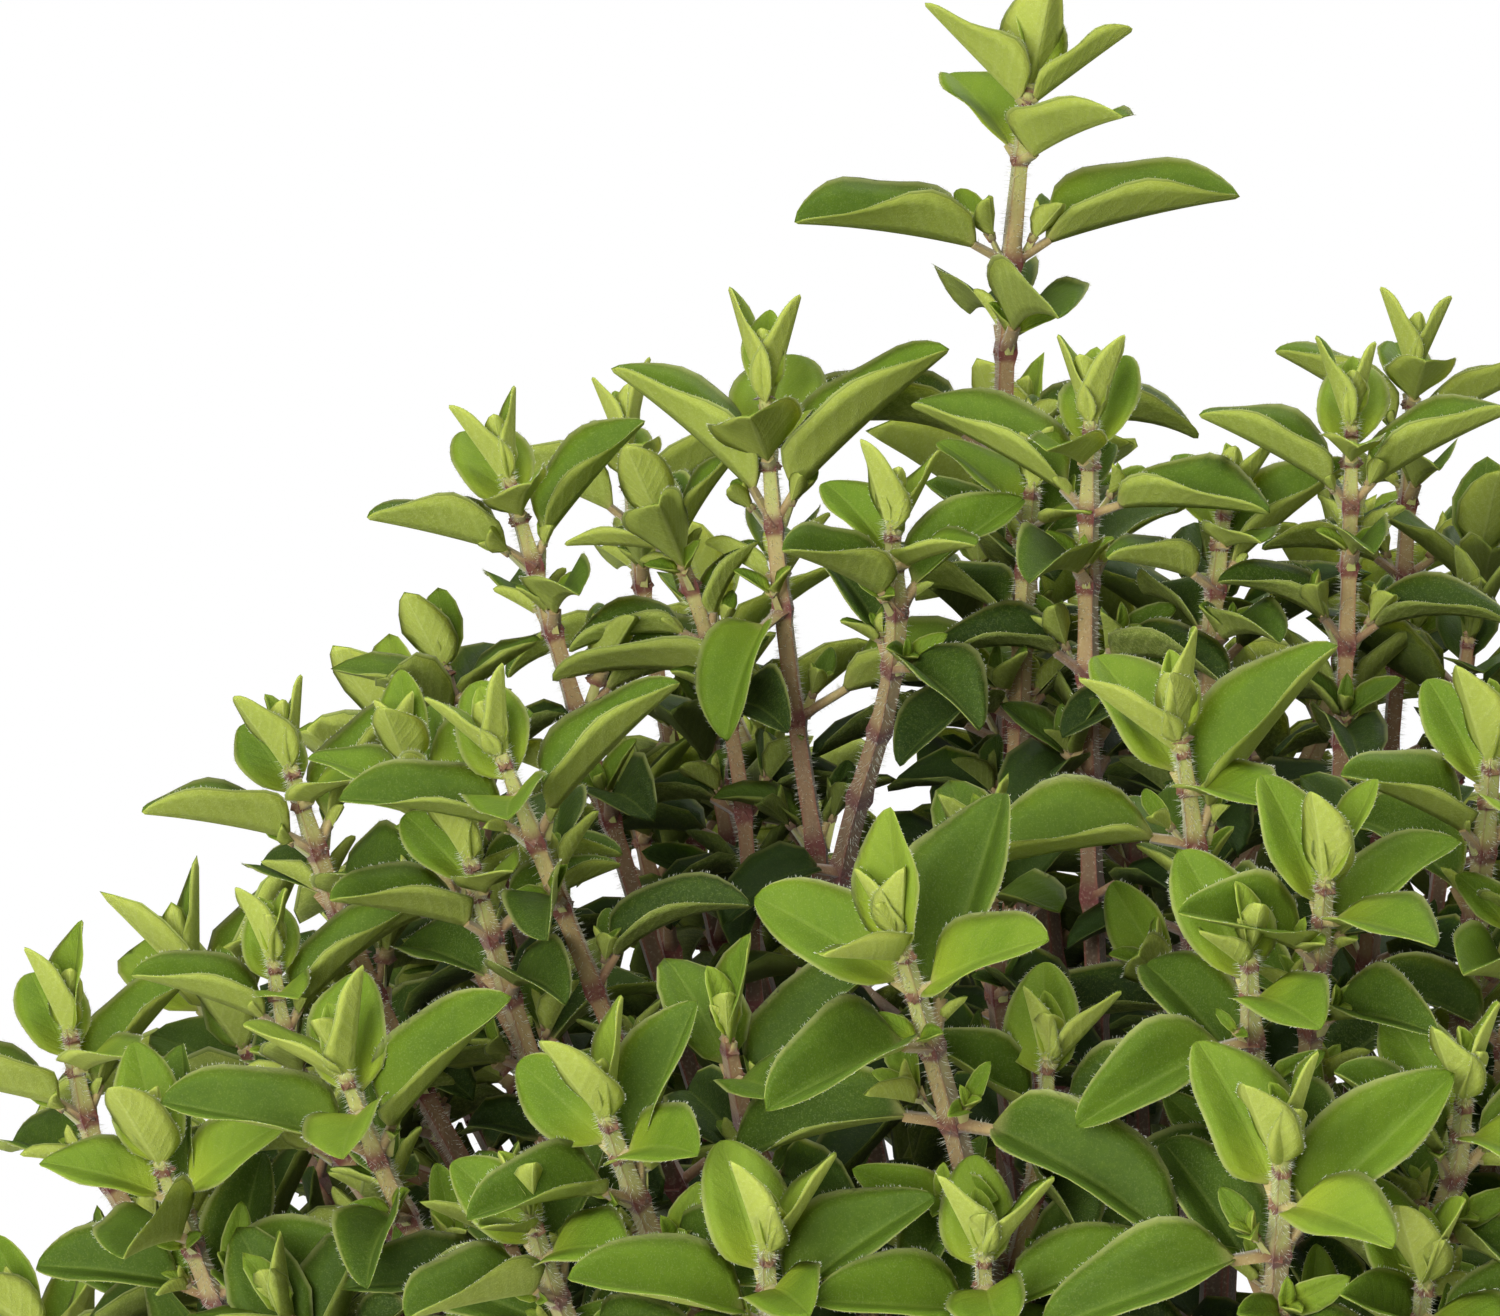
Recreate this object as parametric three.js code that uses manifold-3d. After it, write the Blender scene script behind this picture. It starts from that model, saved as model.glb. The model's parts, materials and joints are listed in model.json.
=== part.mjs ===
// An oregano plant in a plain clay pot: a dome of leafy shoots with opposite pairs of folded leaves,
// each turned a quarter round from the pair below it, rooted in a round of potting soil.
// Millimetres, +Z up, origin on the ground at the centre of the pot's underside.
import * as THREE from "three";
import { mergeVertices } from "three/addons/utils/BufferGeometryUtils.js";
import Module from "manifold-3d";

const wasm = await Module();
wasm.setup();

// ---------------------------------------------------------------- sizes
const POT_HEIGHT = 118;
const POT_FOOT_RADIUS = 45;
const POT_RIM_RADIUS = 70;
const POT_BAND_HEIGHT = 24;
const POT_BAND_PROUD = 4;
const POT_WALL = 6;
const POT_SIDES = 24;
const DRAIN_RADIUS = 4.5;
const DRAIN_RING_RADIUS = 24;
const DRAIN_COUNT = 4;
const SEAT_GAP = 0.3;
const SOIL_TOP = 106;
const ROOT_DEPTH = 12;

const STEM_ROOT_RADIUS = 1.7;
const STEM_TIP_RADIUS = 1.05;
const COLLAR_HEIGHT = 2;
const ROOT_OFFSET = 0.2;

// The shoots' crowns lie on half an egg that stands on the soil.
const DOME_RADIUS = 113;
const DOME_RISE = 88;
const DOME_CENTRE = SOIL_TOP + 50;
const UPWARD_SHARE = 0.62;
const OUTWARD_SHARE = 0.5;

// The front shoots are laid out as on an elevation drawing: across and up, on a plane through the pot's
// axis at soil level, tipped back and seen from an eye in front of it.
const EYE_DISTANCE = 900;
const EYE_TILT = THREE.MathUtils.degToRad(8);
const EYE_AIM = [-43, 115.8];

// name, across, up, behind the dome's face, lean, twist of the widest pair, vigour, grows from
const FRONT_SHOOTS = [
  ["tall", -16, 165.4, 8, 6, 15, 1.1, null],
  ["crest", -41, 134.9, -8, -4, -8, 1.05, null],
  ["west_crest", -66, 129.6, 0, -16, 12, 0.86, null],
  ["west_inner", -50.6, 126.8, 18, -24, 90, 0.76, "west_crest"],
  ["crest_back", -28.5, 124.8, 20, -5, 35, 0.78, "crest"],
  ["middle", -9, 135, 0, 1, -25, 0.86, null],
  ["east", 17.1, 135.3, -8, 0, 0, 0.75, null],
  ["east_back", 23.2, 141.1, 34, 2, 8, 0.75, null],
  ["brow", 0.8, 102.6, 0, -9, 10, 0.98, null],
  ["brow_east", 14.2, 89.6, -4, 3, 40, 0.84, null],
  ["cheek", 7, 81.9, -2, -3, 28, 0.84, "brow_east"],
  ["chin", 10, 61.1, -4, 0, 25, 1, null],
  ["chin_east", 28.1, 68.1, 0, 2, 30, 0.82, "chin"],
  ["bold", -26.4, 82.2, -10, -16, 60, 1.05, null],
  ["under_brow", -13.3, 72.2, 12, 0, 5, 0.74, "bold"],
  ["inner_west", -44.5, 73.6, 6, -10, 30, 0.84, "bold"],
  ["low_west", -56, 66, 0, -18, 40, 0.9, null],
  ["skirt_west", -63.7, 55.9, 0, -14, 50, 0.84, "low_west"],
  ["skirt_mid", -41.2, 52.8, 0, -2, 20, 0.86, null],
  ["shoulder", -82, 70.3, 0, -18, 0, 0.88, null],
  ["shoulder_low", -100.4, 61.4, 0, -18, 80, 0.9, "edge_west"],
  ["edge_west", -110.4, 74.4, 0, -8, 30, 0.86, null],
  ["shoulder_back", -90.2, 82.1, 4, -6, 10, 0.7, "shoulder"],
  ["slope", -87.8, 101, 0, -16, 30, 0.84, null],
  ["slope_inner", -76, 101.6, 8, -14, 80, 0.82, "front_slope"],
  ["front_slope", -66.2, 102, 0, -20, 0, 0.86, null],
  ["east_edge", 30.8, 101.3, 0, 3, 30, 0.88, null],
];

// The rest of the dome is filled by golden-angle steps, wherever no front shoot stands near.
const FILL_STEPS = 60;
const FILL_LOWEST = -0.24;
const FILL_CLEAR = 26;
const FILL_JITTER = 3.5;
const FILL_DEPTH = 9;
const FILL_VIGOUR = [0.88, 0.2];
// Steps that are left out, so that the stems of crest and middle stay open to the front.
const FILL_OPEN = [2, 7];
const GROUP_REACH = 60;
const GROUP_SIZE = 3;
const GOLDEN_ANGLE = Math.PI * (3 - Math.sqrt(5));

// Leaf pairs are counted down the shoot: pair 2 is the upright one at the bud, pair 3 sits at the crown.
const CROWN_PAIR = 3;
const LAST_PAIR = 7;
const BLADE_LENGTH = [4, 7.5, 12, 13.5, 18.5, 17, 17.5, 16];
const BLADE_WIDTH = [2, 3.5, 6.0, 10.2, 13, 12, 11.8, 10.4];
const STALK_LENGTH = [0.3, 0.5, 0.8, 2, 4, 4, 4.5, 4.5];
const LEAF_PITCH = [74, 74, 65, 54, 33, 22, 22, 16];
const STEEPEST = 73;
const WIDEST_PAIR = 4;
// Degrees by which the two leaves of some pairs of a shoot stand above or below the usual.
const PAIR_LIFT = {
  tall: { 2: [-24, -24], 4: [-8, -23] },
  crest: { 4: [4, 18], 5: [0, -55] },
  middle: { 4: [-28, -4] },
  brow: { 2: [-30, 0], 4: [18, -29] },
  cheek: { 4: [10, -38] },
  chin: { 2: [-8, 0], 4: [9, -42] },
  bold: { 2: [-42, 0], 4: [-6, -10], 5: [-25, -36] },
};
// Degrees by which one leaf of a pair is turned round from the square, and its size against the usual.
const PAIR_TURN = { crest: { 5: [0, -28] } };
const PAIR_SIZE = { crest: { 5: [1, 0.75] } };
// From the widest pair down a stalk leaves the stem this many degrees more steeply than its blade goes on.
const STALK_STEEPER = 16;
const LEAF_ARCH = [0, 0, 0, 12, 9, 32, 46, 48];
const LEAF_FOLD = [50, 44, 28, 40, 46, 44, 40, 36];
const PAIR_GAP = [0.8, 1.4, 3.8, 5.6, 8, 10.4, 12.5, 13];
// Extra millimetres between the crown and the widest pair of some shoots.
const CROWN_RAISED = { tall: 4.2 };
// Extra millimetres between the crown and the bud of some shoots.
const BUD_RAISED = { tall: 1.5, crest: 1.3 };
const BUD_PAIR = 2;
const MODELLED_PAIRS = [4, 2, 5];

// A blade is thickest along its midrib and thins towards its margins.
const MIDRIB_THICKNESS = 1;
const BLADE_STATIONS = [0.32, 0.72];
const ROOT_THICKNESS = 1.1;
const MARGIN_CLEARANCE = 0.75;
const MIDRIB_CLEARANCE = 1.35;
const STEM_CLEARANCE = 2.3;
const STEM_SPACING = 4.2;
// Ways to bend a leaf clear of its neighbours, in order: degrees up, degrees round, share of its size.
const BENDS = [
  [0, 0, 1], [12, 0, 1], [-12, 0, 1], [0, 14, 1], [0, -14, 1], [12, 14, 0.94], [12, -14, 0.94],
  [-12, 14, 0.94], [-12, -14, 0.94], [24, 0, 0.9], [-24, 0, 0.9], [0, 28, 0.9], [0, -28, 0.9],
  [0, 0, 0.78], [16, 18, 0.76], [16, -18, 0.76], [-16, 18, 0.76], [-16, -18, 0.76], [30, 0, 0.7],
  [-30, 0, 0.7], [0, 0, 0.6],
];

const UP = new THREE.Vector3(0, 0, 1);
const RIGHT = new THREE.Vector3(1, 0, 0);
const { degToRad } = THREE.MathUtils;

// A small seeded generator, so that the plant grows the same way every time.
function draws(seed) {
  let state = (seed * 7919 + 12345) % 2147483647;
  return () => {
    state = (state * 16807) % 2147483647;
    return state / 2147483647;
  };
}

// ---------------------------------------------------------------- where the shoots stand
function eyeFrame() {
  const across = RIGHT.clone();
  const up = new THREE.Vector3(0, Math.sin(EYE_TILT), Math.cos(EYE_TILT));
  const sight = new THREE.Vector3(0, Math.cos(EYE_TILT), -Math.sin(EYE_TILT));
  const onPlane = (u, v) =>
    new THREE.Vector3(0, 0, SOIL_TOP).addScaledVector(across, u).addScaledVector(up, v);
  const eye = onPlane(...EYE_AIM).addScaledVector(sight, -EYE_DISTANCE);
  return { eye, onPlane };
}

// The dome scaled to a unit ball, for meeting it with a line and for its outward direction.
const toBall = (p) =>
  new THREE.Vector3(p.x / DOME_RADIUS, p.y / DOME_RADIUS, (p.z - DOME_CENTRE) / DOME_RISE);

function outward(p) {
  const b = toBall(p);
  return new THREE.Vector3(b.x / DOME_RADIUS, b.y / DOME_RADIUS, b.z / DOME_RISE).normalize();
}

// Where the line of sight through a point of the drawing meets the dome's near face, or passes nearest it.
function sighted(u, v, behind) {
  const { eye, onPlane } = eyeFrame();
  const ray = onPlane(u, v).sub(eye).normalize();
  const start = toBall(eye);
  const step = toBall(eye.clone().add(ray)).sub(start);
  const a = step.dot(step);
  const b = start.dot(step);
  const c = start.dot(start) - 1;
  const root = Math.sqrt(Math.max(0, b * b - a * c));
  return eye.clone().addScaledVector(ray, (-b - root) / a + behind);
}

// A shoot grows between straight up and straight out of the dome.
function growthAxis(crown, leanDegrees) {
  const out = outward(crown);
  const axis = UP.clone().multiplyScalar(UPWARD_SHARE).addScaledVector(out, OUTWARD_SHARE);
  if (leanDegrees !== null) {
    const lean = degToRad(leanDegrees);
    const rise = Math.hypot(axis.x, axis.z);
    axis.x = rise * Math.sin(lean);
    axis.z = rise * Math.cos(lean);
  }
  return axis.normalize();
}

function frontShoots() {
  return FRONT_SHOOTS.map(([name, u, v, behind, lean, twist, vigour, from]) => {
    const crown = sighted(u, v, behind);
    return { name, crown, axis: growthAxis(crown, lean), twist, vigour, from };
  });
}

function fillShoots(front) {
  const random = draws(3);
  const made = [];
  for (let i = 0; i < FILL_STEPS; i++) {
    const rise = 1 - ((i + 0.5) / FILL_STEPS) * (1 - FILL_LOWEST);
    const round = i * GOLDEN_ANGLE;
    const ring = DOME_RADIUS * Math.sqrt(1 - rise * rise);
    const crown = new THREE.Vector3(
      ring * Math.cos(round) + (random() - 0.5) * 2 * FILL_JITTER,
      ring * Math.sin(round) + (random() - 0.5) * 2 * FILL_JITTER,
      DOME_CENTRE + DOME_RISE * rise + (random() - 0.5) * 2 * FILL_JITTER,
    );
    const twist = random() * 90;
    const vigour = FILL_VIGOUR[0] + FILL_VIGOUR[1] * random();
    const depth = FILL_DEPTH * random();
    const axis = growthAxis(crown, null);
    crown.addScaledVector(axis, -depth);
    if (!FILL_OPEN.includes(i) && front.every((s) => s.crown.distanceTo(crown) > FILL_CLEAR))
      made.push({ name: "fill_" + i, crown, axis, twist, vigour, from: null });
  }
  return made;
}

// Fill shoots grow in groups: the first is rooted and carries its nearest free neighbours as side shoots.
function groupUp(shoots) {
  const free = new Set(shoots);
  for (const shoot of shoots) {
    if (!free.delete(shoot)) continue;
    for (let i = 1; i < GROUP_SIZE; i++) {
      const reach = (other) => other.crown.distanceTo(shoot.crown);
      const [near] = [...free].sort((a, b) => reach(a) - reach(b));
      if (!near || reach(near) > GROUP_REACH) break;
      near.from = shoot.name;
      free.delete(near);
    }
  }
  return shoots;
}

// ---------------------------------------------------------------- stems
const CURVE_STEPS = 24;
const ROOT_SHARE = 0.42;
// Where a stem may start, in order of choice: steps off its root, or the joint of its parent that it leaves.
const ROOT_STEPS = [
  [0, 0], [6, 0], [-6, 0], [0, 6], [0, -6], [6, 6], [-6, 6], [6, -6], [-6, -6],
  [11, 0], [-11, 0], [0, 11], [0, -11],
];
const FORK_STEPS = [10, 12, 8, 14, 11, 9, 13, 7, 15, 6];
// How far a stem keeps the heading of its start and of its crown, as shares of the span between them.
const START_PULL = 0.38;
const CROWN_PULL = 0.36;

function bezier(a, b, c, d) {
  const points = [];
  for (let i = 0; i <= CURVE_STEPS; i++) {
    const t = i / CURVE_STEPS;
    const s = 1 - t;
    points.push(
      a.clone().multiplyScalar(s * s * s)
        .addScaledVector(b, 3 * s * s * t)
        .addScaledVector(c, 3 * s * t * t)
        .addScaledVector(d, t * t * t),
    );
  }
  return points;
}

// A shoot's centre line, from where it leaves the soil or its parent up to the crown.
function centreLine(shoot, parent, choice) {
  const { crown, axis } = shoot;
  let start;
  let heading;
  if (parent) {
    const joint = FORK_STEPS[choice];
    start = parent.line[joint].clone();
    heading = parent.line[joint + 1].clone().sub(parent.line[joint - 1]).normalize();
    heading.addScaledVector(crown.clone().sub(start).normalize(), 0.8).normalize();
  } else {
    const [dx, dy] = ROOT_STEPS[choice];
    const height = SOIL_TOP + COLLAR_HEIGHT;
    start = new THREE.Vector3(crown.x * ROOT_SHARE + dx, crown.y * ROOT_SHARE + dy, height);
    heading = UP.clone().addScaledVector(new THREE.Vector3(crown.x, crown.y, 0), 0.004).normalize();
  }
  const span = start.distanceTo(crown);
  return bezier(
    start,
    start.clone().addScaledVector(heading, span * START_PULL),
    crown.clone().addScaledVector(axis, -span * CROWN_PULL),
    crown,
  );
}

function pointToSegment(p, a, b) {
  const step = b.clone().sub(a);
  const share = Math.min(1, Math.max(0, p.clone().sub(a).dot(step) / step.dot(step)));
  return p.distanceTo(a.clone().addScaledVector(step, share));
}

function lineGap(one, other) {
  let gap = Infinity;
  for (const p of one)
    for (let i = 1; i < other.length; i++) gap = Math.min(gap, pointToSegment(p, other[i - 1], other[i]));
  return gap;
}

// Takes the first start whose line stays clear of the stems already grown, or the one that stays clearest.
function growStem(shoot, parent, grown) {
  const choices = parent ? FORK_STEPS : ROOT_STEPS;
  let best = -1;
  for (let choice = 0; choice < choices.length && best < STEM_SPACING; choice++) {
    const line = centreLine(shoot, parent, choice);
    const tried = parent ? line.slice(4) : line;
    const gap = Math.min(...grown.map((other) => lineGap(tried, other.line)), 99);
    if (gap > best) {
      best = gap;
      shoot.line = line;
    }
  }
  grown.push(shoot);
}

// The point and direction a given length down the centre line from the crown, or above the crown.
function along(shoot, below) {
  const { crown, axis } = shoot;
  if (below <= 0) return { point: crown.clone().addScaledVector(axis, -below), tangent: axis };
  let left = below;
  for (let i = CURVE_STEPS; i > 0; i--) {
    const top = shoot.line[i];
    const foot = shoot.line[i - 1];
    const step = top.distanceTo(foot);
    if (left <= step) {
      const tangent = top.clone().sub(foot).normalize();
      return { point: top.clone().addScaledVector(tangent, -left), tangent };
    }
    left -= step;
  }
  return null;
}

function pairHeights(shoot) {
  const below = [];
  below[CROWN_PAIR] = 0;
  for (let k = CROWN_PAIR - 1; k >= 0; k--) below[k] = below[k + 1] - PAIR_GAP[k] * shoot.vigour;
  for (let k = CROWN_PAIR + 1; k <= LAST_PAIR; k++) below[k] = below[k - 1] + PAIR_GAP[k - 1] * shoot.vigour;
  for (let k = WIDEST_PAIR; k <= LAST_PAIR; k++) below[k] += CROWN_RAISED[shoot.name] ?? 0;
  for (let k = 0; k < CROWN_PAIR; k++) below[k] -= BUD_RAISED[shoot.name] ?? 0;
  return below;
}

// ---------------------------------------------------------------- leaves
// How wide a blade is along its length, as a share of its widest: round at the base and pointed at the tip.
function outline(v) {
  const widest = 0.44;
  const base = 0.7;
  const tip = (base * (1 - widest)) / widest;
  return ((v / widest) ** base) * (((1 - v) / (1 - widest)) ** tip);
}

// The midrib's point and the blade's own up at a share v of the blade's length, on a circular arch.
function midrib(leaf, v) {
  const { out, rise, pitch, arch, stalk, length } = leaf;
  const turned = pitch - arch * v;
  let run = length * v * Math.cos(pitch);
  let lift = length * v * Math.sin(pitch);
  if (arch > 1e-3) {
    run = (length / arch) * (Math.sin(pitch) - Math.sin(turned));
    lift = (length / arch) * (Math.cos(turned) - Math.cos(pitch));
  }
  run += stalk * Math.cos(pitch + leaf.steeper);
  lift += stalk * Math.sin(pitch + leaf.steeper);
  return {
    point: leaf.node.clone().addScaledVector(out, run).addScaledVector(rise, lift),
    normal: rise.clone().multiplyScalar(Math.cos(turned)).addScaledVector(out, -Math.sin(turned)),
  };
}

// Rows of points across the blade: left margin, midrib, right margin.
function bladeRows(leaf, stations) {
  return stations.map((v) => {
    const { point, normal } = midrib(leaf, v);
    const half = (leaf.width / 2) * outline(v);
    const flat = half * Math.cos(leaf.fold);
    const lift = half * Math.sin(leaf.fold);
    const margin = (side) =>
      point.clone().addScaledVector(leaf.side, side * flat).addScaledVector(normal, lift);
    return { left: margin(-1), middle: point, right: margin(1), normal };
  });
}

function makeLeaf(shoot, k, side, jitter, bend) {
  const below = pairHeights(shoot)[k];
  const at = along(shoot, below);
  if (!at) return null;
  const { point, tangent } = at;
  const across = RIGHT.clone().addScaledVector(tangent, -RIGHT.dot(tangent)).normalize();
  const away = new THREE.Vector3().crossVectors(tangent, across);
  const [up, round, size] = bend;
  const own = PAIR_TURN[shoot.name]?.[k]?.[side] ?? 0;
  const square = 90 * (k - WIDEST_PAIR) + 180 * side;
  const turn = degToRad(shoot.twist + square + 14 * (jitter[2] - 0.5) + round + own);
  const out = across.multiplyScalar(Math.cos(turn)).addScaledVector(away, Math.sin(turn));
  const scale = shoot.vigour * (0.9 + 0.2 * jitter[0]) * size * (PAIR_SIZE[shoot.name]?.[k]?.[side] ?? 1);
  const lift = PAIR_LIFT[shoot.name]?.[k]?.[side] ?? 0;
  return {
    shoot,
    k,
    node: point,
    out,
    rise: tangent.clone(),
    side: new THREE.Vector3().crossVectors(tangent, out),
    pitch: degToRad(Math.min(STEEPEST, LEAF_PITCH[k] + 9 * (jitter[1] - 0.5) + up + lift)),
    arch: degToRad(LEAF_ARCH[k] * (0.7 + 0.6 * jitter[3])),
    fold: degToRad(LEAF_FOLD[k]),
    stalk: STALK_LENGTH[k] * shoot.vigour,
    steeper: degToRad(k >= WIDEST_PAIR ? STALK_STEEPER : 0),
    length: BLADE_LENGTH[k] * scale,
    width: BLADE_WIDTH[k] * scale,
  };
}

// ---------------------------------------------------------------- keeping leaves clear
const SHEET_FACES = [
  [0, 1, 2], [0, 2, 3], [1, 4, 5], [1, 5, 2], [2, 5, 6], [2, 6, 3], [4, 7, 5], [5, 7, 6],
];
const SHEET_EDGES = [
  [0, 1], [1, 4], [4, 7], [7, 6], [6, 3], [3, 0], [0, 2], [2, 5], [5, 7], [1, 2], [2, 3], [4, 5], [5, 6],
];
const RIM = [0, 1, 4, 7, 6, 3];

// A blade as a bent sheet of eight points: node, two rows of three, tip.
function sheetOf(leaf) {
  const [a, b] = bladeRows(leaf, BLADE_STATIONS);
  const tip = midrib(leaf, 1).point;
  return {
    points: [leaf.node, a.left, a.middle, a.right, b.left, b.middle, b.right, tip],
    normals: [leaf.rise, a.normal, a.normal, a.normal, b.normal, b.normal, b.normal, b.normal],
  };
}

// The same sheet as a closed slab, thickened at the midrib and margins and widened.
function slabOf(leaf, sheet, rib, margin) {
  const tipward = sheet.points[7].clone().sub(sheet.points[5]).normalize();
  const thick = [rib, margin, rib, margin, margin, rib, margin, margin].map((t) => t / Math.cos(leaf.fold));
  const wider = sheet.points.map((p, i) => {
    const q = p.clone();
    if (i === 1 || i === 4) q.addScaledVector(leaf.side, -margin);
    if (i === 3 || i === 6) q.addScaledVector(leaf.side, margin);
    if (i === 7) q.addScaledVector(tipward, margin);
    return q;
  });
  const points = [
    ...wider.map((p, i) => p.clone().addScaledVector(sheet.normals[i], thick[i])),
    ...wider.map((p, i) => p.clone().addScaledVector(sheet.normals[i], -thick[i])),
  ];
  const lower = 8;
  const faces = [...SHEET_FACES, ...SHEET_FACES.map((f) => f.map((i) => i + lower))];
  const edges = [...SHEET_EDGES, ...SHEET_EDGES.map((e) => e.map((i) => i + lower))];
  RIM.forEach((a, i) => {
    const b = RIM[(i + 1) % RIM.length];
    faces.push([a, b, a + lower], [b, b + lower, a + lower]);
    edges.push([a, a + lower]);
  });
  return { points, faces, edges };
}

function segmentMeetsTriangle(p, q, a, b, c) {
  const dx = q.x - p.x, dy = q.y - p.y, dz = q.z - p.z;
  const ux = b.x - a.x, uy = b.y - a.y, uz = b.z - a.z;
  const vx = c.x - a.x, vy = c.y - a.y, vz = c.z - a.z;
  const hx = dy * vz - dz * vy, hy = dz * vx - dx * vz, hz = dx * vy - dy * vx;
  const det = ux * hx + uy * hy + uz * hz;
  if (Math.abs(det) < 1e-12) return false;
  const sx = p.x - a.x, sy = p.y - a.y, sz = p.z - a.z;
  const u = (sx * hx + sy * hy + sz * hz) / det;
  if (u < 0 || u > 1) return false;
  const wx = sy * uz - sz * uy, wy = sz * ux - sx * uz, wz = sx * uy - sy * ux;
  const v = (dx * wx + dy * wy + dz * wz) / det;
  if (v < 0 || u + v > 1) return false;
  const t = (vx * wx + vy * wy + vz * wz) / det;
  return t >= 0 && t <= 1;
}

function edgesMeetFaces(lines, edges, body, faces) {
  return edges.some(([p, q]) =>
    faces.some(([a, b, c]) => segmentMeetsTriangle(lines[p], lines[q], body[a], body[b], body[c])),
  );
}

function ballOf(points) {
  const centre = points.reduce((sum, p) => sum.add(p), new THREE.Vector3()).divideScalar(points.length);
  return { centre, radius: Math.max(...points.map((p) => p.distanceTo(centre))) };
}

// True if a leaf clears the pot and soil, the other shoots' stems and the leaves already placed.
function isClear(leaf, placed, stems) {
  const sheet = sheetOf(leaf);
  const ball = ballOf(sheet.points);
  const [rimFoot, rimEdge] = [POT_RIM_RADIUS - POT_WALL - 4, POT_RIM_RADIUS + 3];
  for (const p of sheet.points.slice(1)) {
    const reach = Math.hypot(p.x, p.y);
    if (p.z < POT_HEIGHT + 2.5 && reach > rimFoot && reach < rimEdge) return false;
    if (p.z < SOIL_TOP + 3 && reach <= rimFoot) return false;
  }
  const stemSlab = slabOf(leaf, sheet, STEM_CLEARANCE, STEM_CLEARANCE);
  for (const stem of stems) {
    if (stem.shoot === leaf.shoot) continue;
    for (let i = 1; i < stem.points.length; i++) {
      const a = stem.points[i - 1];
      const b = stem.points[i];
      if (a.distanceTo(ball.centre) > ball.radius + a.distanceTo(b) + 4) continue;
      if (edgesMeetFaces([a, b], [[0, 1]], stemSlab.points, stemSlab.faces)) return false;
    }
  }
  const slab = slabOf(leaf, sheet, MIDRIB_CLEARANCE, MARGIN_CLEARANCE);
  for (const other of placed) {
    if (other.leaf.shoot === leaf.shoot) continue;
    if (other.ball.centre.distanceTo(ball.centre) > other.ball.radius + ball.radius + 3) continue;
    if (edgesMeetFaces(other.sheet.points, SHEET_EDGES, slab.points, slab.faces)) return false;
    if (edgesMeetFaces(slab.points, slab.edges, other.sheet.points, SHEET_FACES)) return false;
  }
  return { leaf, sheet, ball };
}

function growLeaves(shoots) {
  const stems = shoots.map((shoot) => ({
    shoot,
    points: [...shoot.line, along(shoot, pairHeights(shoot)[BUD_PAIR]).point],
  }));
  const jitters = shoots.map((shoot, i) => {
    const random = draws(100 + i);
    return Array.from({ length: LAST_PAIR + 1 }, () =>
      [0, 1].map(() => [random(), random(), random(), random()]),
    );
  });
  const placed = [];
  for (const k of MODELLED_PAIRS)
    shoots.forEach((shoot, i) => {
      for (const side of [0, 1])
        for (const bend of BENDS) {
          const leaf = makeLeaf(shoot, k, side, jitters[i][k][side], bend);
          const kept = leaf && isClear(leaf, placed, stems);
          if (kept) {
            placed.push(kept);
            break;
          }
        }
    });
  return placed.map((p) => p.leaf);
}

// ---------------------------------------------------------------- solids
function geometryFrom(points, faces) {
  const geometry = new THREE.BufferGeometry();
  const numbers = points.flatMap((p) => [p.x, p.y, p.z]);
  geometry.setAttribute("position", new THREE.Float32BufferAttribute(numbers, 3));
  geometry.setIndex(faces.flat());
  return geometry;
}

function solidFrom(geometry) {
  const bare = geometry.clone();
  bare.deleteAttribute("normal");
  bare.deleteAttribute("uv");
  const merged = mergeVertices(bare, 1e-4);
  return new wasm.Manifold(
    new wasm.Mesh({
      numProp: 3,
      vertProperties: new Float32Array(merged.attributes.position.array),
      triVerts: new Uint32Array(merged.index.array),
    }),
  );
}

function geometryOf(solid) {
  const mesh = solid.getMesh();
  const points = [];
  for (let i = 0; i < mesh.numVert; i++)
    points.push(new THREE.Vector3().fromArray(mesh.vertProperties, i * mesh.numProp));
  const geometry = geometryFrom(points, [Array.from(mesh.triVerts)]).toNonIndexed();
  geometry.computeVertexNormals();
  return geometry;
}

// A folded blade that starts inside its stem: an upper and a lower midrib, joined along thin margins.
function bladeGeometry(leaf) {
  const rows = bladeRows(leaf, leaf.k === BUD_PAIR ? [0.42] : BLADE_STATIONS);
  const offset = MIDRIB_THICKNESS / 2 / Math.cos(leaf.fold);
  const root = leaf.node.clone().addScaledVector(leaf.out, ROOT_OFFSET);
  const points = [
    root.clone().addScaledVector(leaf.rise, ROOT_THICKNESS / 2),
    root.clone().addScaledVector(leaf.rise, -ROOT_THICKNESS / 2),
  ];
  for (const { left, middle, right, normal } of rows)
    points.push(
      left,
      middle.clone().addScaledVector(normal, offset),
      middle.clone().addScaledVector(normal, -offset),
      right,
    );
  const tip = points.push(midrib(leaf, 1).point) - 1;
  const faces = [];
  const [upper, lower] = [0, 1];
  rows.forEach((_, row) => {
    const [left, top, bottom, right] = [2, 3, 4, 5].map((i) => i + row * 4);
    if (row === 0) {
      faces.push([upper, left, top], [upper, top, right], [lower, bottom, left], [lower, right, bottom]);
      faces.push([upper, lower, left], [upper, right, lower]);
    }
    if (row === rows.length - 1) {
      faces.push([left, tip, top], [top, tip, right], [bottom, tip, left], [right, tip, bottom]);
    } else {
      const [nextLeft, nextTop, nextBottom, nextRight] = [6, 7, 8, 9].map((i) => i + row * 4);
      faces.push([left, nextLeft, top], [top, nextLeft, nextTop]);
      faces.push([top, nextTop, right], [right, nextTop, nextRight]);
      faces.push([left, bottom, nextLeft], [bottom, nextBottom, nextLeft]);
      faces.push([bottom, right, nextBottom], [right, nextRight, nextBottom]);
    }
  });
  return geometryFrom(points, faces);
}

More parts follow.
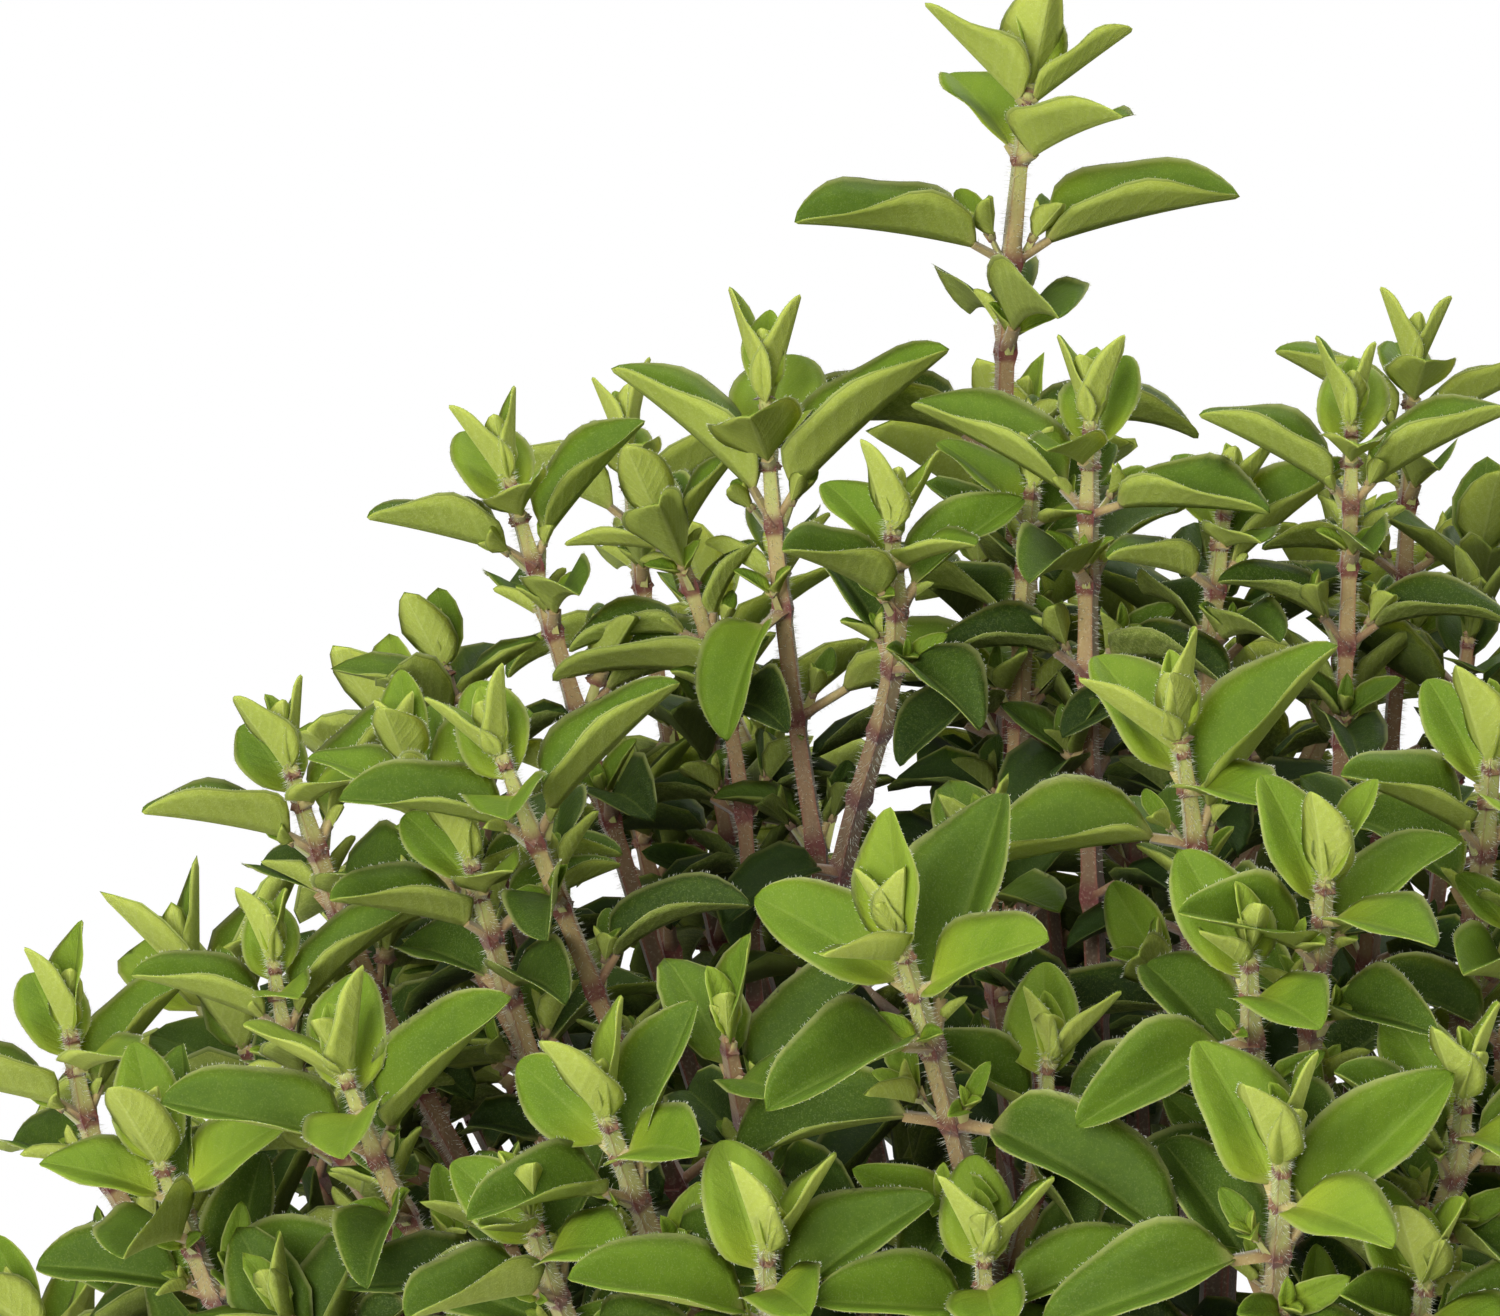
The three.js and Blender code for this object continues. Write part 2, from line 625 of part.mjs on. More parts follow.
// A square stem through the given points, tapering from one radius to the other.
function stemGeometry(points, radii, twist) {
  const sides = 4;
  const rings = points.map((p, i) => {
    const before = points[Math.max(0, i - 1)];
    const after = points[Math.min(points.length - 1, i + 1)];
    const tangent = after.clone().sub(before).normalize();
    const across = RIGHT.clone().addScaledVector(tangent, -RIGHT.dot(tangent)).normalize();
    const away = new THREE.Vector3().crossVectors(tangent, across);
    return Array.from({ length: sides }, (_, j) => {
      const turn = degToRad(twist) + ((j + 0.5) / sides) * 2 * Math.PI;
      return p.clone()
        .addScaledVector(across, radii[i] * Math.cos(turn))
        .addScaledVector(away, radii[i] * Math.sin(turn));
    });
  });
  const faces = [];
  for (let i = 0; i < rings.length - 1; i++)
    for (let j = 0; j < sides; j++) {
      const a = i * sides + j;
      const b = i * sides + ((j + 1) % sides);
      faces.push([a, b, b + sides], [a, b + sides, a + sides]);
    }
  const last = (rings.length - 1) * sides;
  faces.push([0, 2, 1], [0, 3, 2], [last, last + 1, last + 2], [last, last + 2, last + 3]);
  return geometryFrom(rings.flat(), faces);
}

function stemSolid(shoot) {
  const below = pairHeights(shoot);
  const reach = shoot.line.reduce((sum, p, i) => sum + (i ? p.distanceTo(shoot.line[i - 1]) : 0), 0);
  const nodes = [below[5], below[4], below[BUD_PAIR]].filter((s) => s < reach);
  const joints = [0.74, 0.47].map((share) => share * reach).filter((s) => s > nodes[0] + 14);
  const stops = [reach, ...joints.slice(shoot.from ? 1 : 0), ...nodes];
  const points = stops.map((s) => along(shoot, Math.min(s, reach * 0.99999)).point);
  const radii = stops.map((s) => {
    const share = Math.max(0, s) / reach;
    return STEM_TIP_RADIUS + (STEM_ROOT_RADIUS - STEM_TIP_RADIUS) * share * (shoot.from ? 0.6 : 1);
  });
  if (!shoot.from) {
    points.unshift(new THREE.Vector3(points[0].x, points[0].y, SOIL_TOP - ROOT_DEPTH));
    radii.unshift(STEM_ROOT_RADIUS);
  }
  return solidFrom(stemGeometry(points, radii, shoot.twist));
}

const material = (color, roughness) => new THREE.MeshStandardMaterial({ color, roughness, metalness: 0 });
const LEAF_GREEN = material(0x6f9a3a, 0.6);
const SOIL_BROWN = material(0x33261c, 1);
const CLAY = material(0xb4603c, 0.85);

function meshOf(name, solid, look) {
  const mesh = new THREE.Mesh(geometryOf(solid), look);
  mesh.name = name;
  return mesh;
}

function potSolid() {
  const bandFoot = POT_HEIGHT - POT_BAND_HEIGHT;
  const bandRadius = POT_RIM_RADIUS - 2;
  const wallTop = bandRadius - POT_BAND_PROUD;
  const profile = [
    [0, 0],
    [POT_FOOT_RADIUS, 0],
    [wallTop, bandFoot],
    [bandRadius, bandFoot],
    [POT_RIM_RADIUS, POT_HEIGHT],
    [POT_RIM_RADIUS - POT_WALL, POT_HEIGHT],
    [POT_FOOT_RADIUS - POT_WALL, POT_WALL],
    [0, POT_WALL],
  ].map(([r, z]) => new THREE.Vector2(r, z));
  const body = solidFrom(new THREE.LatheGeometry(profile, POT_SIDES).rotateX(Math.PI / 2));
  return Array.from({ length: DRAIN_COUNT }, (_, i) => {
    const turn = ((i + 0.5) / DRAIN_COUNT) * 2 * Math.PI;
    const drill = new THREE.CylinderGeometry(DRAIN_RADIUS, DRAIN_RADIUS, POT_WALL * 3, 8);
    drill.rotateX(Math.PI / 2);
    drill.translate(DRAIN_RING_RADIUS * Math.cos(turn), DRAIN_RING_RADIUS * Math.sin(turn), 0);
    return solidFrom(drill);
  }).reduce((solid, drill) => solid.subtract(drill), body);
}

// The soil fills the pot, with a plain square hole for each stem that is rooted in it.
function soilSolid(rooted) {
  const wallAt = (z) =>
    POT_FOOT_RADIUS - POT_WALL +
    ((POT_RIM_RADIUS - POT_FOOT_RADIUS) * (z - POT_WALL)) / (POT_HEIGHT - POT_WALL) - SEAT_GAP * 1.6;
  const bottom = POT_WALL + SEAT_GAP;
  const profile = [[0, bottom], [wallAt(bottom), bottom], [wallAt(SOIL_TOP), SOIL_TOP], [0, SOIL_TOP]];
  const lathe = new THREE.LatheGeometry(profile.map(([r, z]) => new THREE.Vector2(r, z)), POT_SIDES);
  const holeDepth = ROOT_DEPTH + SEAT_GAP;
  const wide = (STEM_ROOT_RADIUS + SEAT_GAP * 1.5) * Math.SQRT2;
  return rooted
    .map((shoot) => {
      const hole = new THREE.BoxGeometry(wide, wide, holeDepth * 2);
      hole.rotateZ(degToRad(shoot.twist));
      hole.translate(shoot.line[0].x, shoot.line[0].y, SOIL_TOP);
      return solidFrom(hole);
    })
    .reduce((solid, hole) => solid.subtract(hole), solidFrom(lathe.rotateX(Math.PI / 2)));
}

// ---------------------------------------------------------------- the plant
const front = frontShoots();
const shoots = [...front, ...groupUp(fillShoots(front))];
const byName = new Map(shoots.map((s) => [s.name, s]));
const rooted = shoots.filter((s) => !s.from);
const sideShoots = shoots.filter((s) => s.from);
const grown = [];
rooted.forEach((s) => growStem(s, null, grown));
sideShoots.forEach((s) => growStem(s, byName.get(s.from), grown));
const leaves = growLeaves([...rooted, ...sideShoots]);

const plant = new THREE.Group();
plant.add(meshOf("pot", potSolid(), CLAY));
plant.add(meshOf("soil", soilSolid(rooted), SOIL_BROWN));
for (const shoot of rooted) {
  const family = [shoot, ...sideShoots.filter((s) => s.from === shoot.name)];
  const parts = family.flatMap((s) => [
    stemSolid(s),
    ...leaves.filter((leaf) => leaf.shoot === s).map((leaf) => solidFrom(bladeGeometry(leaf))),
  ]);
  plant.add(meshOf("stem_" + shoot.name, parts.reduce((sum, part) => sum.add(part)), LEAF_GREEN));
}

export default plant;
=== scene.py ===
# %% [markdown]
# # Oregano in a clay pot
# This lesson dresses a bare model of a potted oregano. The bare model already says where each leafy stem
# stands. Here every stem gets its full set of leaves, its square ridged bark, its hairs and its soft greens,
# and the pot and soil get their clay and crumb. Everything is in metres, with +Z up.

# %% Load the bare model
import json
import math

import bpy
import numpy as np
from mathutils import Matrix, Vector

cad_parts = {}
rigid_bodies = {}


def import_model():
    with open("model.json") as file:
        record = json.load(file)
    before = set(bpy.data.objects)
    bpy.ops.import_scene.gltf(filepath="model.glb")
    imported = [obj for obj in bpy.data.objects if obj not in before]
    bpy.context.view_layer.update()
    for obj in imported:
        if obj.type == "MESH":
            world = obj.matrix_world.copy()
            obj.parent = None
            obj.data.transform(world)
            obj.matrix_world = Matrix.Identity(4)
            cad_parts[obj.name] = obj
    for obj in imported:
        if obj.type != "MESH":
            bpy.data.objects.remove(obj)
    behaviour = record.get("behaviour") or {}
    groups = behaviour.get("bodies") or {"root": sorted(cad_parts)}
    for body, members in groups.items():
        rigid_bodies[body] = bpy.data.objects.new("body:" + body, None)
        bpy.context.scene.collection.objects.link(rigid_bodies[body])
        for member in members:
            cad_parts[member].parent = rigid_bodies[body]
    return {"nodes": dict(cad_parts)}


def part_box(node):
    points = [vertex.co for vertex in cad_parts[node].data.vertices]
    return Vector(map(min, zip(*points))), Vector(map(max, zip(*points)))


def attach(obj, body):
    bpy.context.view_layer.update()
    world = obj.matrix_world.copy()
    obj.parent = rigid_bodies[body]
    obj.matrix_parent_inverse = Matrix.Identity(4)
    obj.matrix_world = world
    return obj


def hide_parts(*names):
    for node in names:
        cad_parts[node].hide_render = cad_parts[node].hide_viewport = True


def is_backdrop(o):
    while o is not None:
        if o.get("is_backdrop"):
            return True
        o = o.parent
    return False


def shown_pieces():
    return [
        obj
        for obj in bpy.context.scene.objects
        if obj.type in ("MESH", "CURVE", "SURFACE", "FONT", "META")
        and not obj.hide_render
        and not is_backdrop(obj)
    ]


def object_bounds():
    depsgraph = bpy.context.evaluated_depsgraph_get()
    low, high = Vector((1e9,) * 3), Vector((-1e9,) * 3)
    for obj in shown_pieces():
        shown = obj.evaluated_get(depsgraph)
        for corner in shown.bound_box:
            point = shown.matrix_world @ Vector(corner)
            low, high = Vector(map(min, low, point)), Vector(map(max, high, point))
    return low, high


for thing in list(bpy.data.objects):
    bpy.data.objects.remove(thing)
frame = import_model()
bare_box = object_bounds()
MM = 0.001


def linked(name, data):
    made = bpy.data.objects.new(name, data)
    bpy.context.collection.objects.link(made)
    return made


print("bare model:", len(frame["nodes"]), "nodes")

# %% [markdown]
# ## The camera
# The plant is looked at from close by, from a little above, with a long lens, so that the shoots keep their
# true sizes against each other. The same eye also serves to lay out the front shoots, so its numbers come
# first. The eye is aimed at a point left of the pot's axis, high up in the leaves.

# %% The eye
SOIL_TOP = 106.0
EYE_DISTANCE = 900.0
EYE_TILT = math.radians(8)
EYE_AIM = (-43.0, 115.8)
SENSOR_WIDTH, LENS, NEAREST, FARTHEST = 36, 216, 0.05, 50
EYE_UP = np.array([0, math.sin(EYE_TILT), math.cos(EYE_TILT)])
EYE_SIGHT = np.array([0, math.cos(EYE_TILT), -math.sin(EYE_TILT)])


def on_plane(across, up):
    return np.array([across, 0, SOIL_TOP]) + EYE_UP * up


EYE = on_plane(*EYE_AIM) - EYE_SIGHT * EYE_DISTANCE
camera = linked("camera", bpy.data.cameras.new("camera"))
camera.data.sensor_width = SENSOR_WIDTH
camera.data.lens = LENS
camera.data.clip_start, camera.data.clip_end = NEAREST, FARTHEST
camera.location = EYE * MM
camera.rotation_euler = (math.pi / 2 - EYE_TILT, 0, 0)
bpy.context.scene.camera = camera
print("camera at", tuple(round(x, 3) for x in camera.location))

# %% [markdown]
# ## How an oregano grows
# Oregano carries its leaves in opposite pairs, and each pair is turned a quarter round from the last. Pairs
# are counted down from the bud: pair 2 stands upright at the tip, pair 3 sits at the crown of the shoot, pair
# 4 spreads widest, and the older ones below arch over and hang. One table of sizes, indexed by that number,
# is enough to grow every shoot. Placing leaves by hand would take days and would never look as regular.

# %% Sizes of a shoot, in millimetres and degrees
BUD_PAIR, CROWN_PAIR, WIDEST_PAIR = 2, 3, 4
LAST_MODELLED_PAIR = 7
BLADE_LENGTH = [4, 7.5, 12, 13.5, 18.5, 17, 17.5, 16, 14.5, 13, 12]
BLADE_WIDTH = [3, 5.2, 6.0, 10.2, 13, 12, 11.8, 10.4, 9.4, 8.6, 8]
STALK_LENGTH = [0.3, 0.5, 0.8, 2, 4, 4, 4.5, 4.5, 4.5, 4.5, 4.5]
LEAF_PITCH = [78, 76, 65, 34, 33, 22, 22, 16, 10, 6, 2]
STEEPEST = 73
# Degrees by which the two leaves of some pairs of a shoot stand above or below the usual.
PAIR_LIFT = {
    "tall": {2: (-24, -24), 4: (-8, -23)},
    "crest": {4: (4, 18), 5: (0, -55), 6: (0, -14), 7: (30, 30)},
    "middle": {4: (-28, -4)},
    "brow": {2: (-30, 0), 4: (18, -29)},
    "cheek": {4: (10, -38)},
    "chin": {2: (-8, 0), 4: (9, -42)},
    "bold": {2: (-42, 0), 4: (-6, -10), 5: (-25, -36)},
}
# Degrees by which one leaf of a pair is turned round from the square, and its size against the usual.
PAIR_TURN = {"crest": {5: (0, -28), 7: (98, 98)}}
PAIR_SIZE = {"crest": {5: (1, 0.75)}, "cheek": {3: (1, 1.25)}}
# From the widest pair down a stalk leaves the stem this many degrees more steeply than its blade goes on.
STALK_STEEPER = 16
LEAF_ARCH = [0, 0, 0, 14, 9, 32, 46, 48, 50, 50, 50]
LEAF_FOLD = [46, 44, 28, 25, 46, 44, 40, 36, 34, 32, 30]
PAIR_GAP = [0.8, 1.4, 3.8, 5.6, 8, 10.4, 12.5, 13, 13, 13, 13]
# Millimetres by which the crown of some shoots stands above its usual place over the widest pair.
CROWN_RAISED = {"tall": 4.2}
# And by which the bud of some shoots stands above its usual place over the crown.
BUD_RAISED = {"tall": 1.5, "crest": 1.3}
# Degrees by which a leaf of the crown pair bends down towards the light in front, or stands up behind.
CROWN_OPENS, CROWN_OPENS_ON = 14, {"tall": 6, "crest": 8}
# Degrees by which the crown pair of some shoots is turned round from the square.
CROWN_TURNED = {"tall": 20, "brow": 20, "chin": 12}
MODELLED_PAIRS = [4, 2, 5]

DOME_RADIUS, DOME_RISE, DOME_CENTRE = 113.0, 88.0, SOIL_TOP + 50
POT_HEIGHT, POT_RIM_RADIUS, POT_WALL = 118.0, 70.0, 6.0
UP = np.array([0.0, 0.0, 1.0])
RIGHT = np.array([1.0, 0.0, 0.0])

# name, across, up, behind the dome's face, lean, twist of the widest pair, vigour, grows from
FRONT_SHOOTS = [
    ("tall", -16, 165.4, 8, 6, 15, 1.1, None),
    ("crest", -41, 134.9, -8, -4, -8, 1.05, None),
    ("west_crest", -66, 129.6, 0, -16, 12, 0.86, None),
    ("west_inner", -50.6, 126.8, 18, -24, 90, 0.76, "west_crest"),
    ("crest_back", -28.5, 124.8, 20, -5, 35, 0.78, "crest"),
    ("middle", -9, 135, 0, 1, -25, 0.86, None),
    ("east", 17.1, 135.3, -8, 0, 0, 0.75, None),
    ("east_back", 23.2, 141.1, 34, 2, 8, 0.75, None),
    ("brow", 0.8, 102.6, 0, -9, 10, 0.98, None),
    ("brow_east", 14.2, 89.6, -4, 3, 40, 0.84, None),
    ("cheek", 7, 81.9, -2, -3, 28, 0.84, "brow_east"),
    ("chin", 10, 61.1, -4, 0, 25, 1, None),
    ("chin_east", 28.1, 68.1, 0, 2, 30, 0.82, "chin"),
    ("bold", -26.4, 82.2, -10, -16, 60, 1.05, None),
    ("under_brow", -13.3, 72.2, 12, 0, 5, 0.74, "bold"),
    ("inner_west", -44.5, 73.6, 6, -10, 30, 0.84, "bold"),
    ("low_west", -56, 66, 0, -18, 40, 0.9, None),
    ("skirt_west", -63.7, 55.9, 0, -14, 50, 0.84, "low_west"),
    ("skirt_mid", -41.2, 52.8, 0, -2, 20, 0.86, None),
    ("shoulder", -82, 70.3, 0, -18, 0, 0.88, None),
    ("shoulder_low", -100.4, 61.4, 0, -18, 80, 0.9, "edge_west"),
    ("edge_west", -110.4, 74.4, 0, -8, 30, 0.86, None),
    ("shoulder_back", -90.2, 82.1, 4, -6, 10, 0.7, "shoulder"),
    ("slope", -87.8, 101, 0, -16, 30, 0.84, None),
    ("slope_inner", -76, 101.6, 8, -14, 80, 0.82, "front_slope"),
    ("front_slope", -66.2, 102, 0, -20, 0, 0.86, None),
    ("east_edge", 30.8, 101.3, 0, 3, 30, 0.88, None),
]
# The rest follow a spiral down the dome: its steps, how low it goes, and how far they keep off and stray.
FILL_STEPS, FILL_LOWEST, FILL_CLEAR, FILL_JITTER = 60, -0.24, 26.0, 3.5
FILL_VIGOUR, FILL_DEPTH = (0.88, 0.2), 9
# Steps that are left out, so that the stems of crest and middle stay open to the front.
FILL_OPEN = (2, 7)
GROUP_REACH, GROUP_SIZE = 60.0, 3
GOLDEN_ANGLE = math.pi * (3 - math.sqrt(5))
# How strongly a shoot grows up and out of the dome.
UPRIGHT, OUTWARD = 0.62, 0.5
print("front shoots:", len(FRONT_SHOOTS))

# %% [markdown]
# ## Where the shoots stand
# The crowns lie on half an egg that stands on the soil. The front ones are given as on an elevation drawing,
# across and up, and are pushed back along the line of sight until they meet the egg. The others follow the
# golden angle, which spreads points evenly over a dome without rows. A small generator with a fixed start
# makes the same plant each time.


# %% Crowns and the way each one points
def draws(seed):
    state = (seed * 7919 + 12345) % 2147483647
    while True:
        state = (state * 16807) % 2147483647
        yield state / 2147483647


def unit(v):
    return v / math.sqrt(v @ v)


def to_ball(p):
    return np.array([p[0] / DOME_RADIUS, p[1] / DOME_RADIUS, (p[2] - DOME_CENTRE) / DOME_RISE])


def sighted(across, up, behind):
    ray = unit(on_plane(across, up) - EYE)
    start = to_ball(EYE)
    step = to_ball(EYE + ray) - start
    a, b, c = step @ step, start @ step, start @ start - 1
    root = math.sqrt(max(0, b * b - a * c))
    return EYE + ray * ((-b - root) / a + behind)


def growth_axis(crown, lean):
    b = to_ball(crown)
    out = unit(np.array([b[0] / DOME_RADIUS, b[1] / DOME_RADIUS, b[2] / DOME_RISE]))
    axis = UP * UPRIGHT + out * OUTWARD
    if lean is not None:
        rise = math.hypot(axis[0], axis[2])
        axis[0] = rise * math.sin(math.radians(lean))
        axis[2] = rise * math.cos(math.radians(lean))
    return unit(axis)


def shoot(name, crown, lean, twist, vigour, grows_from=None):
    axis = growth_axis(crown, lean)
    return dict(name=name, crown=crown, axis=axis, twist=twist, vigour=vigour, grows_from=grows_from)


def sighted_shoot(name, across, up, behind, *rest):
    return shoot(name, sighted(across, up, behind), *rest)


def spiral_crown(step, steps, lowest, start=0.0):
    rise = 1 - ((step + 0.5) / steps) * (1 - lowest)
    turn = step * GOLDEN_ANGLE + start
    ring = DOME_RADIUS * math.sqrt(1 - rise * rise)
    return np.array([ring * math.cos(turn), ring * math.sin(turn), DOME_CENTRE + DOME_RISE * rise])


def far_from(others, crown, clear):
    return all(np.linalg.norm(s["crown"] - crown) > clear for s in others)


def fill_shoots(front):
    random = draws(3)
    made = []
    for i in range(FILL_STEPS):
        stray = np.array([(next(random) - 0.5) * 2 * FILL_JITTER for _ in range(3)])
        crown = spiral_crown(i, FILL_STEPS, FILL_LOWEST) + stray
        twist = next(random) * 90
        vigour = FILL_VIGOUR[0] + FILL_VIGOUR[1] * next(random)
        depth = FILL_DEPTH * next(random)
        one = shoot(f"fill_{i}", crown, None, twist, vigour)
        crown -= one["axis"] * depth
        if i not in FILL_OPEN and far_from(front, crown, FILL_CLEAR):
            made.append(one)
    return made


def group_up(shoots):
    free = {s["name"]: s for s in shoots}
    for one in shoots:
        if not free.pop(one["name"], None):
            continue
        for _ in range(GROUP_SIZE - 1):
            near = min(free.values(), key=lambda s: np.linalg.norm(s["crown"] - one["crown"]), default=None)
            if near is None or np.linalg.norm(near["crown"] - one["crown"]) > GROUP_REACH:
                break
            near["grows_from"] = one["name"]
            del free[near["name"]]
    return shoots


front = [sighted_shoot(*row) for row in FRONT_SHOOTS]
shoots = front + group_up(fill_shoots(front))
by_name = {s["name"]: s for s in shoots}
rooted = [s for s in shoots if not s["grows_from"]]
side_shoots = [s for s in shoots if s["grows_from"]]
shoots = rooted + side_shoots
print("shoots:", len(shoots), "of which rooted:", len(rooted))

# %% [markdown]
# ## Stems
# A stem leaves the soil upright and bends out to its crown, so one cubic curve with a handle at each end does
# it. A side shoot leaves its parent part way up instead. Each new stem tries a few starts and takes the
# first whose line stays clear of those already grown.

# %% Centre lines
CURVE_STEPS = 24
# The two handles as shares of the span, how sharply a side shoot turns off, and how a root stem splays.
HANDLE_LOW, HANDLE_HIGH, FORK_TURN, ROOT_SPLAY = 0.38, 0.36, 0.8, 0.004
COLLAR_HEIGHT = 2.0
ROOT_SHARE = 0.42
STEM_SPACING = 4.2
ROOT_STEPS = [(0, 0), (6, 0), (-6, 0), (0, 6), (0, -6), (6, 6), (-6, 6), (6, -6), (-6, -6), (11, 0), (-11, 0),
              (0, 11), (0, -11)]
FORK_STEPS = [10, 12, 8, 14, 11, 9, 13, 7, 15, 6]


def bezier(a, b, c, d):
    t = (np.arange(CURVE_STEPS + 1) / CURVE_STEPS)[:, None]
    s = 1 - t
    return a * s**3 + b * 3 * s * s * t + c * 3 * s * t * t + d * t**3


def centre_line(one, parent, choice):
    crown, axis = one["crown"], one["axis"]
    if parent:
        joint = FORK_STEPS[choice]
        line = parent["line"]
        start = line[joint]
        heading = unit(line[joint + 1] - line[joint - 1])
        heading = unit(heading + unit(crown - start) * FORK_TURN)
    else:
        dx, dy = ROOT_STEPS[choice]
        start = np.array([crown[0] * ROOT_SHARE + dx, crown[1] * ROOT_SHARE + dy, SOIL_TOP + COLLAR_HEIGHT])
        heading = unit(UP + np.array([crown[0], crown[1], 0]) * ROOT_SPLAY)
    span = np.linalg.norm(crown - start)
    return bezier(start, start + heading * span * HANDLE_LOW, crown - axis * span * HANDLE_HIGH, crown)


def line_gap(one, other):
    a, b = other[:-1], other[1:]
    step = b - a
    share = np.einsum("psk,sk->ps", one[:, None] - a[None], step) / np.einsum("sk,sk->s", step, step)
    near = a[None] + step[None] * np.clip(share, 0, 1)[..., None]
    return np.sqrt(((one[:, None] - near) ** 2).sum(-1)).min()


def grow_stem(one, parent, grown):
    best = -1
    for choice in range(len(FORK_STEPS if parent else ROOT_STEPS)):
        if best >= STEM_SPACING:
            break
        line = centre_line(one, parent, choice)
        tried = line[4:] if parent else line
        gap = min([line_gap(tried, other["line"]) for other in grown] + [99])
        if gap > best:
            best = gap
            one["line"] = line
    grown.append(one)


def line_length(one):
    return np.linalg.norm(np.diff(one["line"], axis=0), axis=1).sum()


grown = []
for one in shoots:
    grow_stem(one, by_name.get(one["grows_from"]), grown)
print("longest stem:", round(max(line_length(s) for s in shoots)), "mm")


# %% A point part way down a shoot, and where its leaf pairs sit
def along(one, below):
    if below <= 0:
        return one["crown"] + one["axis"] * -below, one["axis"]
    left = below
    line = one["line"]
    for i in range(len(line) - 1, 0, -1):
        step = np.linalg.norm(line[i] - line[i - 1])
        if left <= step:
            tangent = unit(line[i] - line[i - 1])
            return line[i] - tangent * left, tangent
        left -= step
    return None


def pair_heights(one):
    below = {CROWN_PAIR: 0.0}
    for k in range(CROWN_PAIR - 1, -1, -1):
        below[k] = below[k + 1] - PAIR_GAP[k] * one["vigour"]
    for k in range(CROWN_PAIR + 1, len(BLADE_LENGTH)):
        below[k] = below[k - 1] + PAIR_GAP[k - 1] * one["vigour"]
        if k == CROWN_PAIR + 1:
            below[k] += CROWN_RAISED.get(one["name"], 0)
    for k in range(CROWN_PAIR):
        below[k] -= BUD_RAISED.get(one["name"], 0)
    return below


# %% [markdown]
# ## Leaves, first as bent sheets
# Before any leaf gets its fine mesh it is a sheet of eight points: the node, two rows of three across the
# blade, and the tip. The midrib follows a circular arch and the two halves fold up from it. That is enough to
# test a leaf against its neighbours. A leaf that would cut through another is bent up, down or round a
# little, as real ones push each other aside, and one that fits nowhere is left out.

# %% One leaf's numbers
# Degrees up and round, and the size, tried one after the other.
BENDS = [
    (0, 0, 1), (12, 0, 1), (-12, 0, 1), (0, 14, 1), (0, -14, 1), (12, 14, 0.94), (12, -14, 0.94),
    (-12, 14, 0.94), (-12, -14, 0.94), (24, 0, 0.9), (-24, 0, 0.9), (0, 28, 0.9), (0, -28, 0.9),
    (0, 0, 0.78), (16, 18, 0.76), (16, -18, 0.76), (-16, 18, 0.76), (-16, -18, 0.76), (30, 0, 0.7),
    (-30, 0, 0.7), (0, 0, 0.6),
]
BLADE_STATIONS = np.array([0.32, 0.72])
# The most by which chance turns and tilts a leaf, in degrees, and the range of its size and arch.
TURN_STRAYS, PITCH_STRAYS, SIZE_RANGE, ARCH_RANGE = 14, 9, (0.9, 0.2), (0.7, 0.6)


def outline(v):
    widest, base = 0.44, 0.7
    tip = (base * (1 - widest)) / widest
    return (v / widest) ** base * ((1 - v) / (1 - widest)) ** tip


def make_leaf(one, k, side, jitter, bend):
    at = along(one, pair_heights(one)[k])
    if at is None:
        return None
    point, tangent = at
    across = unit(RIGHT - tangent * (RIGHT @ tangent))
    away = np.cross(tangent, across)
    up, around, size = bend
    name = one["name"]
    around += CROWN_TURNED.get(name, 0) if k == CROWN_PAIR else 0
    around += PAIR_TURN.get(name, {}).get(k, (0, 0))[side]
    square = one["twist"] + 90 * (k - WIDEST_PAIR) + 180 * side
    turn = math.radians(square + TURN_STRAYS * (jitter[2] - 0.5) + around)
    out = across * math.cos(turn) + away * math.sin(turn)
    scale = one["vigour"] * (SIZE_RANGE[0] + SIZE_RANGE[1] * jitter[0]) * size
    scale *= PAIR_SIZE.get(name, {}).get(k, (1, 1))[side]
    opens = CROWN_OPENS_ON.get(name, CROWN_OPENS) * out[1] if k == CROWN_PAIR else 0
    lift = PAIR_LIFT.get(name, {}).get(k, (0, 0))[side] + opens
    return dict(
        shoot=one, k=k, node=point, out=out, rise=tangent, side=np.cross(tangent, out),
        pitch=math.radians(min(STEEPEST, LEAF_PITCH[k] + PITCH_STRAYS * (jitter[1] - 0.5) + up + lift)),
        arch=math.radians(LEAF_ARCH[k] * (ARCH_RANGE[0] + ARCH_RANGE[1] * jitter[3])),
        fold=math.radians(LEAF_FOLD[k]),
        stalk=STALK_LENGTH[k] * one["vigour"],
        steeper=math.radians(STALK_STEEPER if k > CROWN_PAIR else 0),
        length=BLADE_LENGTH[k] * scale,
        width=BLADE_WIDTH[k] * scale,
    )


def midrib(leaf, v):
    """Points of the midrib and the blade's own up there, for shares v of the blade's length."""
    v = np.asarray(v, float)[:, None]
    pitch, arch, length = leaf["pitch"], leaf["arch"], leaf["length"]
    turned = pitch - arch * v
    if arch > 1e-3:
        run = length / arch * (math.sin(pitch) - np.sin(turned))
        lift = length / arch * (np.cos(turned) - math.cos(pitch))
    else:
        run, lift = length * v * math.cos(pitch), length * v * math.sin(pitch)
    run = run + leaf["stalk"] * math.cos(pitch + leaf["steeper"])
    lift = lift + leaf["stalk"] * math.sin(pitch + leaf["steeper"])
    point = leaf["node"] + leaf["out"] * run + leaf["rise"] * lift
    return point, leaf["rise"] * np.cos(turned) - leaf["out"] * np.sin(turned)


